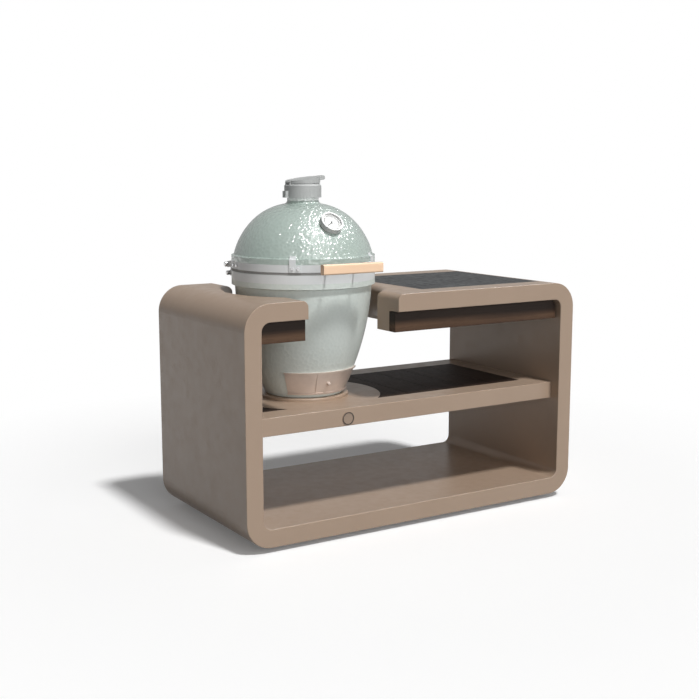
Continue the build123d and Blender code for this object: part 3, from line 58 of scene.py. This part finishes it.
def darker(colour, share):
    """A share of a colour's light."""
    return (*(share * level for level in colour[:3]), 1.0)


# Camera, as the photograph was taken
CAMERA_PLACE = Vector((-2.5119, -3.8416, 1.3565))
CAMERA_AZIMUTH = math.radians(-32.172)
CAMERA_ELEVATION = math.radians(9.0157)
CAMERA_LENS = 59.42
SENSOR_WIDTH = 36

# Light: direction to each lamp, how wide it looks, and its share of a full white exposure.
# The edge lamp is seen in gloss alone.
KEY_LAMP = (Vector((0.113, -0.55, 1.0)), math.radians(7), 0.82)
FILL_LAMP = (Vector((-0.05, -1.0, 0.28)), math.radians(50), 0.39)
EDGE_LAMP = (Vector((0.54, -0.03, 0.84)), math.radians(20), 0.85)
SURROUND_LEVEL = 0.085
SURROUND_IN_MIRRORS = 0.47
FLOOR_SIZE = 40
FLOOR_FADE = (1.35, 2.6)
FLOOR_SEEN = 0.94
FLOOR_GLOW = 0.1
FLOOR_BOUNCE = 0.13

# Colours
WHITE = (1.0, 1.0, 1.0, 1.0)
TAUPE = tone(169, 147, 128)
TAUPE_DARK = tone(162, 140, 121)
STONE = tone(41, 43, 44)
STONE_PALE = tone(58, 61, 62)
STONE_DARK = tone(27, 29, 31)
WOOD = tone(96, 73, 56)
WOOD_DARK = tone(66, 48, 36)
# Painted shade: the dark brown that the wooden fronts darken to towards their top, standing in for the slab's
# shadow
PAINTED_SHADE_BROWN = tone(27, 20, 17)
SLAT = tone(60, 46, 39)
SLAT_DARK = tone(40, 29, 23)
HANDLE = tone(255, 222, 190)
HANDLE_DARK = tone(250, 212, 178)
GLAZE = tone(168, 184, 176)
GLAZE_POOL = tone(156, 173, 164)
GLAZE_RIDGE = tone(177, 190, 183)
GLAZE_LOW = tone(212, 220, 215)
GLAZE_LOW_POOL = tone(203, 212, 207)
GLAZE_LOW_RIDGE = tone(218, 225, 221)
CAST_GREY = tone(182, 184, 183)
CAST_DARK = tone(170, 172, 171)
COLLAR = tone(230, 233, 231)
BAND_GREY = tone(226, 229, 230)
BAND_DARK = tone(218, 221, 222)
STEEL = tone(214, 214, 212)
DRAFT_STEEL = tone(226, 212, 202)
BRIGHT_STEEL = tone(222, 222, 222)
CLAY = tone(186, 174, 156)
CLAY_DARK = tone(158, 144, 126)
IRON = tone(52, 52, 52)
IRON_DARK = tone(34, 34, 34)
FELT = tone(160, 160, 158)
RUBBER = tone(38, 38, 38)
RUBBER_DARK = tone(26, 26, 26)
TRAY = tone(62, 60, 58)
TRAY_DARK = tone(50, 48, 46)
BADGE = tone(150, 131, 115)
BADGE_LINE = tone(70, 61, 54)
# Painted shade on the thermometer case: its side darker than the ring that faces out, and its inner wall as
# pale as that ring over its shadow
BEZEL_SHADED_SIDE = tone(206, 208, 207)
BEZEL_FRONT = tone(236, 237, 236)
DIAL = tone(248, 248, 246)
MARK = tone(96, 98, 98)
GLASS = tone(246, 249, 249)

# Sizes that the materials follow, some of them from the model
BADGE_LINE_RADIUS = 0.0205
BADGE_LINE_WIDTH = 0.0036
BADGE_LINE_FADE = 0.0004
BEZEL_SIDE_DEPTH = 0.0010
BEZEL_SIDE_FADE = 0.0005
SLAT_PITCH = 0.138
SLAT_SEAMS = 4
SLAT_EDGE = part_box("shelf_slats")[1][0]
BOARDS = (SLAT_PITCH, SLAT_EDGE, SLAT_SEAMS)
NECK_DROP = 0.011
NECK_FADE = 0.0006
NECK_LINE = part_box("cap_ring")[0][2] - NECK_DROP
NEEDLE_AXIS = next(j["axis"] for j in frame["record"]["behaviour"]["joints"] if j["name"] == "needle_turn")
DIAL_NORMAL = -Vector(NEEDLE_AXIS).normalized()
DIAL_RIGHT = Vector((1, 0, 0))
DIAL_UP = DIAL_NORMAL.cross(DIAL_RIGHT)
DIMPLES_PER_METRE = 80
DIMPLE_DEPTH = 0.0008
GLINT_DEPTH = 0.0052

# Pith of each wood: how far behind and below the piece the middle of its trunk lay
FRONT_PITH_BACK = 0.10
FRONT_PITH_DROP = 0.12
SLAT_PITH_DROP = 0.10
BAR_PITH_BACK = 0.05
BAR_PITH_DROP = 0.06
FRONT_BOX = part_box("drawer_front")
FRONT_PITH = (0.0, FRONT_BOX[1][1] + FRONT_PITH_BACK, FRONT_BOX[0][2] - FRONT_PITH_DROP)
SLAT_PITH = (0.0, 0.0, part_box("shelf_slats")[0][2] - SLAT_PITH_DROP)
BAR_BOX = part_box("handle_bar")
BAR_PITH = (0.0, BAR_BOX[1][1] + BAR_PITH_BACK, BAR_BOX[0][2] - BAR_PITH_DROP)

# Painted shade of the slab's overhang on the wooden fronts: it starts above the board's lower edge and is
# full below its upper edge
PAINTED_SHADE_START = 0.02
PAINTED_SHADE_FULL = 0.03
PAINTED_SHADE_SPAN = (FRONT_BOX[0][2] + PAINTED_SHADE_START, FRONT_BOX[1][2] - PAINTED_SHADE_FULL)

# Thermometer scale: a thin ring and ticks laid on the dial
MARK_LIFT = 0.0002
RING_RADIUS = 0.0300
RING_WIDTH = 0.0014
TICK_LENGTH = 0.003
TICK_WIDTH = 0.0010
TICK_COUNT = 40
LONG_TICK_EVERY = 4
TICK_START = math.radians(215)
TICK_SWEEP = math.radians(250)
RING_STEPS = 120


def middle_of(node):
    """The middle of a node's box."""
    low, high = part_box(node)
    return (Vector(low) + Vector(high)) / 2


def placed(name, form):
    """An object in the scene from a form, which is used up."""
    mesh = bpy.data.meshes.new(name)
    form.to_mesh(mesh)
    form.free()
    made = bpy.data.objects.new(name, mesh)
    bpy.context.collection.objects.link(made)
    return made


class Paint:
    """A material of nodes that end in one Principled shader."""

    def __init__(self, name, colour, roughness, metallic=0.0):
        self.material = bpy.data.materials.new(name)
        self.material.use_nodes = True
        self.tree = self.material.node_tree
        self.shader = self.tree.nodes["Principled BSDF"]
        self.shader.inputs["Metallic"].default_value = metallic
        self.set("Base Color", colour)
        self.set("Roughness", roughness)
        self.place = self.node("ShaderNodeTexCoord").outputs["Object"]
        self.normal = None

    def feed(self, socket, value):
        """Links a socket to another node's output, or sets it to a constant."""
        if isinstance(value, bpy.types.NodeSocket):
            self.tree.links.new(value, socket)
        else:
            socket.default_value = value

    def set(self, name, value):
        """Feeds an input of the shader."""
        self.feed(self.shader.inputs[name], value)

    def node(self, kind, *values, **options):
        """A node with its first inputs fed in order and its options set."""
        made = self.tree.nodes.new(kind)
        for name, value in options.items():
            setattr(made, name, value)
        for socket, value in zip(made.inputs, values):
            self.feed(socket, value)
        return made

    def spread(self, stretch, shift=(0, 0, 0)):
        """The object's coordinates, moved and drawn out along the axes."""
        return self.node("ShaderNodeMapping", self.place, shift, (0, 0, 0), stretch).outputs[0]

    def noise(self, scale, detail=3.0, stretch=(1, 1, 1), vector=None):
        """Noise from 0 to 1, at a scale in features per metre."""
        made = self.node("ShaderNodeTexNoise")
        self.feed(made.inputs["Vector"], vector or self.spread(stretch))
        made.inputs["Scale"].default_value = scale
        made.inputs["Detail"].default_value = detail
        return made.outputs[0]

    def cells(self, scale, smooth=0.6):
        """Distance to the nearest of many scattered points, rounded off."""
        made = self.node("ShaderNodeTexVoronoi", feature="SMOOTH_F1")
        self.feed(made.inputs["Vector"], self.place)
        made.inputs["Scale"].default_value = scale
        made.inputs["Smoothness"].default_value = smooth
        return made.outputs["Distance"]

    def rings(self, scale, axis, vector, distortion):
        """Growth rings round an axis."""
        made = self.node("ShaderNodeTexWave", wave_type="RINGS", rings_direction=axis)
        self.feed(made.inputs["Vector"], vector)
        made.inputs["Scale"].default_value = scale
        made.inputs["Distortion"].default_value = distortion
        made.inputs["Detail"].default_value = 3
        made.inputs["Detail Scale"].default_value = 1.6
        return made.outputs[1]

    def math(self, operation, first, second=0.0):
        """One step of arithmetic on one or two values."""
        return self.node("ShaderNodeMath", first, second, operation=operation).outputs[0]

    def span(self, value, source, target):
        """A value mapped from one range to another and held inside it."""
        return self.node("ShaderNodeMapRange", value, *source, *target).outputs[0]

    def mix(self, factor, first, second):
        """A colour between two colours."""
        made = self.node("ShaderNodeMix", data_type="RGBA")
        self.feed(made.inputs[0], factor)
        self.feed(made.inputs[6], first)
        self.feed(made.inputs[7], second)
        return made.outputs[2]

    def axes(self):
        """The x, y and z of the object's coordinates."""
        return self.node("ShaderNodeSeparateXYZ", self.place).outputs

    def bump(self, height, depth, strength=1.0):
        """Adds a relief of a depth in metres to the surface."""
        made = self.node("ShaderNodeBump")
        self.feed(made.inputs["Height"], height)
        made.inputs["Strength"].default_value = strength
        made.inputs["Distance"].default_value = depth
        if self.normal is not None:
            self.feed(made.inputs["Normal"], self.normal)
        self.normal = made.outputs[0]
        self.set("Normal", self.normal)


def coated(name, colour, dark, roughness=0.35, grain=1400, depth=0.00006):
    """Powder coat: a fine orange-peel grain, faint drifts of tone and a soft sheen."""
    paint = Paint(name, colour, roughness)
    drift = paint.noise(4.0, 4.0)
    fine = paint.noise(grain, 2.0)
    speckle = paint.span(fine, (0.3, 0.7), (0.0, 0.35))
    worn = paint.math("ADD", paint.span(drift, (0.35, 0.65), (0.0, 0.5)), speckle)
    paint.set("Base Color", paint.mix(worn, colour, dark))
    paint.set("Roughness", paint.span(paint.noise(30.0), (0.3, 0.7), (roughness - 0.06, roughness + 0.07)))
    paint.bump(fine, depth, 0.7)
    return paint.material


def stone(name):
    """Honed stone: large clouds, blotches and small bright and dark crystals."""
    paint = Paint(name, STONE, 0.5)
    paint.set("Specular IOR Level", 0.25)
    cloud = paint.span(paint.noise(7.0, 6.0), (0.42, 0.68), (0.0, 1.0))
    streak = paint.span(paint.noise(11.0, 5.0, (0.4, 1.0, 1.0)), (0.5, 0.66), (0.0, 0.8))
    blotch = paint.span(paint.noise(38.0, 5.0), (0.45, 0.72), (0.0, 0.8))
    base = paint.mix(cloud, STONE, STONE_PALE)
    base = paint.mix(streak, base, STONE_DARK)
    base = paint.mix(blotch, base, STONE_DARK)
    crystals = paint.noise(520.0, 2.0)
    base = paint.mix(paint.span(crystals, (0.62, 0.72), (0.0, 0.55)), base, STONE_PALE)
    base = paint.mix(paint.span(crystals, (0.38, 0.28), (0.0, 0.6)), base, STONE_DARK)
    paint.set("Base Color", base)
    paint.set("Roughness", paint.span(blotch, (0.0, 0.8), (0.44, 0.6)))
    paint.bump(crystals, 0.0001, 0.5)
    return paint.material


def wood(name, light, dark, axis, pith, roughness, boards=None, shade_span=None):
    """Oiled wood: grain along an axis, rings round a pith, fine pores, and a painted shade that darkens it
    above a height.
    """
    paint = Paint(name, light, roughness)
    paint.set("Specular IOR Level", 0.2)
    along = "XYZ".index(axis)
    draw = [1.0, 1.0, 1.0]
    draw[along] = 0.06
    place = paint.spread(draw, [-value for value in pith])
    if boards:
        pitch, edge, seams = boards
        across = paint.math("DIVIDE", paint.math("SUBTRACT", edge, paint.axes()[0]), pitch)
        number = paint.math("MINIMUM", paint.math("FLOOR", across), seams)
        jump = paint.node("ShaderNodeCombineXYZ", 0.0, 0.0, paint.math("MULTIPLY", number, 0.37)).outputs[0]
        place = paint.node("ShaderNodeVectorMath", place, jump, operation="ADD").outputs[0]
    rings = paint.rings(16.0, axis, place, 3.5)
    streak = paint.noise(22.0, 5.0, vector=place)
    pores = paint.noise(420.0, 3.0, vector=place)
    grain = paint.math("MULTIPLY", rings, 0.25)
    grain = paint.math("ADD", grain, paint.span(streak, (0.3, 0.7), (0.0, 0.7)))
    base = paint.mix(grain, light, dark)
    base = paint.mix(paint.span(pores, (0.58, 0.72), (0.0, 0.7)), base, dark)
    if boards:
        shade = paint.node("ShaderNodeTexWhiteNoise", noise_dimensions="1D")
        paint.feed(shade.inputs["W"], number)
        base = paint.mix(paint.span(shade.outputs["Value"], (0.0, 1.0), (0.0, 0.4)), base, dark)
    # Painted shade: the board darkens towards its top as the slab's shadow, with a wavy edge from the streaks
    if shade_span:
        start, end = shade_span
        wander = paint.math("MULTIPLY", paint.math("SUBTRACT", streak, 0.5), end - start)
        rise = paint.math("ADD", paint.axes()[2], wander)
        base = paint.mix(paint.span(rise, (start, end), (0.0, 0.85)), base, PAINTED_SHADE_BROWN)
    paint.set("Base Color", base)
    paint.set("Roughness", paint.span(pores, (0.3, 0.7), (roughness - 0.05, roughness + 0.12)))
    paint.bump(rings, 0.0002, 0.3)
    paint.bump(pores, 0.00025, 0.6)
    return paint.material


def glazed(name, colour, pool, ridge, gloss):
    """Dimpled ceramic glaze, a shade darker in the hollows, with its colour and its relief."""
    paint = Paint(name, colour, gloss)
    dimples = paint.math("POWER", paint.cells(DIMPLES_PER_METRE), 2.0)
    drift = paint.noise(5.0, 3.0)
    base = paint.mix(paint.span(dimples, (0.0, 0.3), (0.5, 0.0)), colour, pool)
    base = paint.mix(paint.span(drift, (0.35, 0.7), (0.0, 0.5)), base, ridge)
    paint.set("Base Color", base)
    paint.set("Roughness", paint.span(drift, (0.3, 0.7), (gloss - 0.08, gloss + 0.08)))
    paint.bump(dimples, DIMPLE_DEPTH)
    return paint, base, dimples


def dome_glaze(name):
    """The dome's glaze under a glassy coat that glints in every dimple, with a bare collar at the neck."""
    paint, base, dimples = glazed(name, GLAZE, GLAZE_POOL, GLAZE_RIDGE, 0.4)
    collar = paint.span(paint.axes()[2], (NECK_LINE - NECK_FADE, NECK_LINE + NECK_FADE), (0.0, 1.0))
    paint.set("Base Color", paint.mix(collar, base, COLLAR))
    relief = paint.node("ShaderNodeBump")
    paint.feed(relief.inputs["Height"], dimples)
    relief.inputs["Distance"].default_value = GLINT_DEPTH
    paint.set("Coat Normal", relief.outputs[0])
    paint.set("Coat Weight", 1.0)
    paint.set("Coat Roughness", 0.14)
    paint.set("Coat IOR", 1.75)
    return paint.material


def base_glaze(name):
    """The pot's paler, duller glaze."""
    return glazed(name, GLAZE_LOW, GLAZE_LOW_POOL, GLAZE_LOW_RIDGE, 0.45)[0].material


def cast(name, colour, dark, roughness=0.62, depth=0.0004):
    """A cast or pressed surface with a coarse, irregular skin."""
    paint = Paint(name, colour, roughness)
    skin = paint.noise(240.0, 4.0)
    drift = paint.noise(14.0, 4.0)
    base = paint.mix(paint.span(drift, (0.35, 0.7), (0.0, 0.7)), colour, dark)
    base = paint.mix(paint.span(skin, (0.6, 0.8), (0.0, 0.5)), base, dark)
    paint.set("Base Color", base)
    paint.set("Roughness", paint.span(skin, (0.3, 0.7), (roughness - 0.08, roughness + 0.1)))
    paint.bump(skin, depth, 0.5)
    return paint.material


def metal(name, colour, roughness, stretch=(1, 1, 1), depth=0.00005, metallic=1.0):
    """Bare metal with brushing or fine wear in its gloss."""
    paint = Paint(name, colour, roughness, metallic)
    brushed = paint.noise(260.0, 4.0, stretch)
    haze = paint.noise(18.0, 3.0)
    dark = darker(colour, 0.72)
    paint.set("Base Color", paint.mix(paint.span(haze, (0.3, 0.75), (0.0, 0.6)), colour, dark))
    paint.set("Roughness", paint.span(brushed, (0.3, 0.7), (roughness * 0.75, roughness * 1.3)))
    paint.bump(brushed, depth, 0.4)
    return paint.material


def cloth(name, colour):
    """Pressed felt: short tangled fibres."""
    paint = Paint(name, colour, 0.9)
    fibres = paint.noise(900.0, 6.0, (1.0, 1.0, 0.4))
    dark = darker(colour, 0.6)
    paint.set("Base Color", paint.mix(paint.span(fibres, (0.35, 0.7), (0.0, 1.0)), colour, dark))
    paint.set("Sheen Weight", 0.3)
    paint.bump(fibres, 0.0006, 0.8)
    return paint.material


def enamel(name, colour, roughness=0.35):
    """Smooth paint with faint unevenness."""
    paint = Paint(name, colour, roughness)
    paint.set("Specular IOR Level", 0.1)
    haze = paint.noise(60.0, 3.0)
    dark = darker(colour, 0.9)
    paint.set("Base Color", paint.mix(paint.span(haze, (0.35, 0.7), (0.0, 0.6)), colour, dark))
    paint.set("Roughness", paint.span(haze, (0.3, 0.7), (roughness - 0.05, roughness + 0.08)))
    paint.bump(paint.noise(700.0, 2.0), 0.00002, 0.5)
    return paint.material


def clear(name):
    """A thin clear pane with faint smears in its gloss."""
    paint = Paint(name, GLASS, 0.03)
    paint.set("Alpha", 0.03)
    paint.set("Specular IOR Level", 0.1)
    paint.set("Roughness", paint.span(paint.noise(40.0, 4.0), (0.4, 0.75), (0.02, 0.06)))
    return paint.material


def bezel(name):
    """The thermometer's case: its side painted darker as shade, and the ring that faces out pale, with the
    wall inside it painted as pale over its shadow.
    """
    paint = Paint(name, BEZEL_SHADED_SIDE, 0.4)
    paint.set("Specular IOR Level", 0.15)
    hub = middle_of("thermometer_glass")
    around = max((v.co - hub).cross(DIAL_NORMAL).length for v in nodes["thermometer_case"].data.vertices)
    from_hub = paint.node("ShaderNodeVectorMath", paint.place, hub, operation="SUBTRACT").outputs[0]
    across = paint.node("ShaderNodeVectorMath", from_hub, DIAL_NORMAL, operation="CROSS_PRODUCT").outputs[0]
    away = paint.node("ShaderNodeVectorMath", across, operation="LENGTH").outputs["Value"]
    inside = around - BEZEL_SIDE_DEPTH
    # Painted shade: darker on the outer side; the inner wall is painted pale over its shadow
    painted_side_shade = paint.span(away, (inside, inside + BEZEL_SIDE_FADE), (0.0, 1.0))
    haze = paint.noise(90.0, 3.0)
    paint.set("Base Color", paint.mix(painted_side_shade, BEZEL_FRONT, BEZEL_SHADED_SIDE))
    paint.set("Roughness", paint.span(haze, (0.3, 0.7), (0.32, 0.48)))
    paint.bump(paint.noise(600.0, 2.0), 0.00002, 0.5)
    return paint.material


def badge(name):
    """A round badge: a plain face inside a dark line."""
    paint = Paint(name, BADGE, 0.42)
    middle = middle_of("shelf_badge")
    place = paint.spread((1.0, 0.0, 1.0), (-middle.x, 0.0, -middle.z))
    away = paint.node("ShaderNodeVectorMath", place, operation="LENGTH").outputs["Value"]
    outer = BADGE_LINE_RADIUS + BADGE_LINE_WIDTH
    outside = paint.span(away, (BADGE_LINE_RADIUS - BADGE_LINE_FADE, BADGE_LINE_RADIUS), (0.0, 1.0))
    inside = paint.span(away, (outer, outer + BADGE_LINE_FADE), (1.0, 0.0))
    brushed = paint.noise(300.0, 3.0, (0.05, 1, 1))
    face = paint.mix(paint.span(brushed, (0.3, 0.7), (0.0, 0.3)), BADGE, TAUPE_DARK)
    paint.set("Base Color", paint.mix(paint.math("MULTIPLY", outside, inside), face, BADGE_LINE))
    paint.set("Roughness", paint.span(brushed, (0.3, 0.7), (0.36, 0.5)))
    paint.bump(brushed, 0.00004, 0.5)
    return paint.material


# Looks by material slot, and by node where a node differs from its slot
looks = {
    "taupe_coat": coated("taupe_coat", TAUPE, TAUPE_DARK),
    "dark_stone": stone("dark_stone"),
    # The wooden fronts carry a painted shade towards their top
    "dark_wood": wood("dark_wood", WOOD, WOOD_DARK, "X", FRONT_PITH, 0.5, shade_span=PAINTED_SHADE_SPAN),
    "slat_wood": wood("slat_wood", SLAT, SLAT_DARK, "Y", SLAT_PITH, 0.6, BOARDS),
    "handle_wood": wood("handle_wood", HANDLE, HANDLE_DARK, "X", BAR_PITH, 0.34),
    "zinc_steel": metal("zinc_steel", STEEL, 0.38, (1, 0.05, 1)),
    "foot_rubber": cast("foot_rubber", RUBBER, RUBBER_DARK, 0.8),
    "tray_coat": coated("tray_coat", TRAY, TRAY_DARK, 0.55),
    "plate_coat": coated("plate_coat", TAUPE, TAUPE_DARK),
    "badge_metal": badge("badge_metal"),
    "green_glaze": dome_glaze("green_glaze"),
    "base": base_glaze("pale_glaze"),
    "fire_clay": cast("fire_clay", CLAY, CLAY_DARK, 0.85),
    "cast_iron": cast("cast_iron", IRON, IRON_DARK, 0.7, 0.0006),
    "steel": metal("steel", STEEL, 0.34, (0.06, 1, 1)),
    "draft_frame": metal("dull_steel", DRAFT_STEEL, 0.42, (0.06, 1, 1), metallic=0.35),
    "band_coat": coated("band_coat", BAND_GREY, BAND_DARK, 0.4, 1100),
    "felt": cloth("felt", FELT),
    "bright_steel": metal("bright_steel", BRIGHT_STEEL, 0.14),
    "cap_coat": cast("cap_coat", CAST_GREY, CAST_DARK, 0.58),
    "bezel": bezel("bezel"),
    "dial": enamel("dial", DIAL, 0.7),
    "needle": enamel("needle", MARK, 0.7),
    "glass": clear("glass"),
}
looks["draft_door"] = looks["draft_frame"]
for part in frame["record"]["subparts"]:
    mesh = nodes[part["node"]].data
    mesh.materials.clear()
    mesh.materials.append(looks.get(part["node"], looks[part["material_slot"]]))


# Thermometer scale
def dial_face():
    """The middle of the dial's face, just above it."""
    mesh = nodes["thermometer_dial"].data
    hub = middle_of("thermometer_glass")
    rim = max(mesh.vertices, key=lambda vertex: (vertex.co - hub).cross(DIAL_NORMAL).length)
    radius = (rim.co - hub).cross(DIAL_NORMAL).length
    wide = [v for v in mesh.vertices if (v.co - hub).cross(DIAL_NORMAL).length > 0.9 * radius]
    height = max((vertex.co - hub).dot(DIAL_NORMAL) for vertex in wide)
    return hub + DIAL_NORMAL * (height + MARK_LIFT)


def dial_point(centre, angle, radius):
    """A point of the scale at an angle and a radius."""
    return centre + (DIAL_RIGHT * math.cos(angle) + DIAL_UP * math.sin(angle)) * radius


def dial_patch(form, centre, corners):
    """A flat patch of the scale from (angle, radius) corners."""
    form.faces.new([form.verts.new(dial_point(centre, angle, radius)) for angle, radius in corners])


def dial_marks():
    """The ring and the ticks, as one piece that rides on the lid."""
    centre = dial_face()
    form = bmesh.new()
    step = 2 * math.pi / RING_STEPS
    for index in range(RING_STEPS):
        start = index * step
        end = start + step
        outer = RING_RADIUS + RING_WIDTH
        dial_patch(form, centre, ((start, RING_RADIUS), (start, outer), (end, outer), (end, RING_RADIUS)))
    for index in range(TICK_COUNT + 1):
        angle = TICK_START - TICK_SWEEP * index / TICK_COUNT
        length = TICK_LENGTH * (2 if index % LONG_TICK_EVERY == 0 else 1)
        inner = RING_RADIUS - length
        half = TICK_WIDTH / 2
        corners = (
            (angle - half / inner, inner),
            (angle - half / RING_RADIUS, RING_RADIUS),
            (angle + half / RING_RADIUS, RING_RADIUS),
            (angle + half / inner, inner),
        )
        dial_patch(form, centre, corners)
    bmesh.ops.recalc_face_normals(form, faces=form.faces)
    marks = placed("dial_marks", form)
    marks.data.materials.append(looks["needle"])
    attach(marks, "lid")


dial_marks()


# Floor
def floor_material():
    """Pale, white far away to the eye and to mirrors, and dimmer in the light that it throws back."""
    paint = Paint("floor", (FLOOR_SEEN, FLOOR_SEEN, FLOOR_SEEN, 1.0), 0.9)
    paint.set("Specular IOR Level", 0.1)
    rays = paint.node("ShaderNodeLightPath").outputs
    level = paint.span(rays["Is Diffuse Ray"], (0.0, 1.0), (FLOOR_SEEN, FLOOR_BOUNCE))
    grain = paint.span(paint.noise(3.0, 2.0), (0.0, 1.0), (0.99, 1.0))
    paint.set("Base Color", paint.math("MULTIPLY", level, grain))
    glow = paint.node("ShaderNodeEmission", WHITE, 1.0).outputs[0]
    seen = paint.math("SUBTRACT", 1.0, rays["Is Diffuse Ray"])
    paint.set("Emission Color", WHITE)
    paint.set("Emission Strength", paint.math("MULTIPLY", seen, FLOOR_GLOW))
    away = paint.node("ShaderNodeVectorMath", paint.place, operation="LENGTH").outputs["Value"]
    factor = paint.math("MULTIPLY", seen, paint.span(away, FLOOR_FADE, (0.0, 1.0)))
    blend = paint.node("ShaderNodeMixShader", factor, paint.shader.outputs[0], glow)
    output = paint.tree.nodes["Material Output"]
    paint.tree.links.new(blend.outputs[0], output.inputs["Surface"])
    return paint.material


def build_floor():
    """A wide flat sheet under the object."""
    form = bmesh.new()
    bmesh.ops.create_grid(form, x_segments=8, y_segments=8, size=FLOOR_SIZE / 2)
    floor = placed("floor", form)
    floor.data.materials.append(floor_material())


build_floor()


# Light: a key from above in front, a wide soft fill from the front, a lamp for the edges and an even surround
def build_lamp(name, towards, width, share):
    """A far lamp in a direction."""
    lamp = bpy.data.lights.new(name, "SUN")
    lamp.angle = width
    lamp.energy = share * math.pi
    made = bpy.data.objects.new(name, lamp)
    bpy.context.collection.objects.link(made)
    made.rotation_euler = towards.to_track_quat("Z", "Y").to_euler()
    return made


def build_world():
    """A dim even surround that looks white to the camera and through glass, and pale in mirrors."""
    world = bpy.data.worlds.new("surround")
    bpy.context.scene.world = world
    world.use_nodes = True
    tree = world.node_tree
    surround = tree.nodes["Background"]
    surround.inputs["Color"].default_value = WHITE
    rays = tree.nodes.new("ShaderNodeLightPath")
    levels = {"Is Camera Ray": 1.0, "Is Transmission Ray": 1.0, "Is Glossy Ray": SURROUND_IN_MIRRORS}
    strength = None
    for ray, level in levels.items():
        step = tree.nodes.new("ShaderNodeMath")
        step.operation = "MULTIPLY_ADD"
        tree.links.new(rays.outputs[ray], step.inputs[0])
        step.inputs[1].default_value = level - SURROUND_LEVEL
        step.inputs[2].default_value = SURROUND_LEVEL
        if strength:
            tree.links.new(strength, step.inputs[2])
        strength = step.outputs[0]
    tree.links.new(strength, surround.inputs["Strength"])


def build_camera():
    """The camera at the photograph's place."""
    lens = bpy.data.cameras.new("camera")
    lens.lens = CAMERA_LENS
    lens.sensor_width = SENSOR_WIDTH
    camera = bpy.data.objects.new("camera", lens)
    bpy.context.collection.objects.link(camera)
    level = math.cos(CAMERA_ELEVATION)
    rise = math.sin(CAMERA_ELEVATION)
    back = Vector((math.sin(CAMERA_AZIMUTH) * level, -math.cos(CAMERA_AZIMUTH) * level, rise))
    camera.location = CAMERA_PLACE
    camera.rotation_euler = back.to_track_quat("Z", "Y").to_euler()
    bpy.context.scene.camera = camera


build_lamp("key", *KEY_LAMP)
build_lamp("fill", *FILL_LAMP)
build_lamp("edge", *EDGE_LAMP).visible_diffuse = False
build_world()
build_camera()
bpy.context.scene.view_settings.view_transform = "Standard"
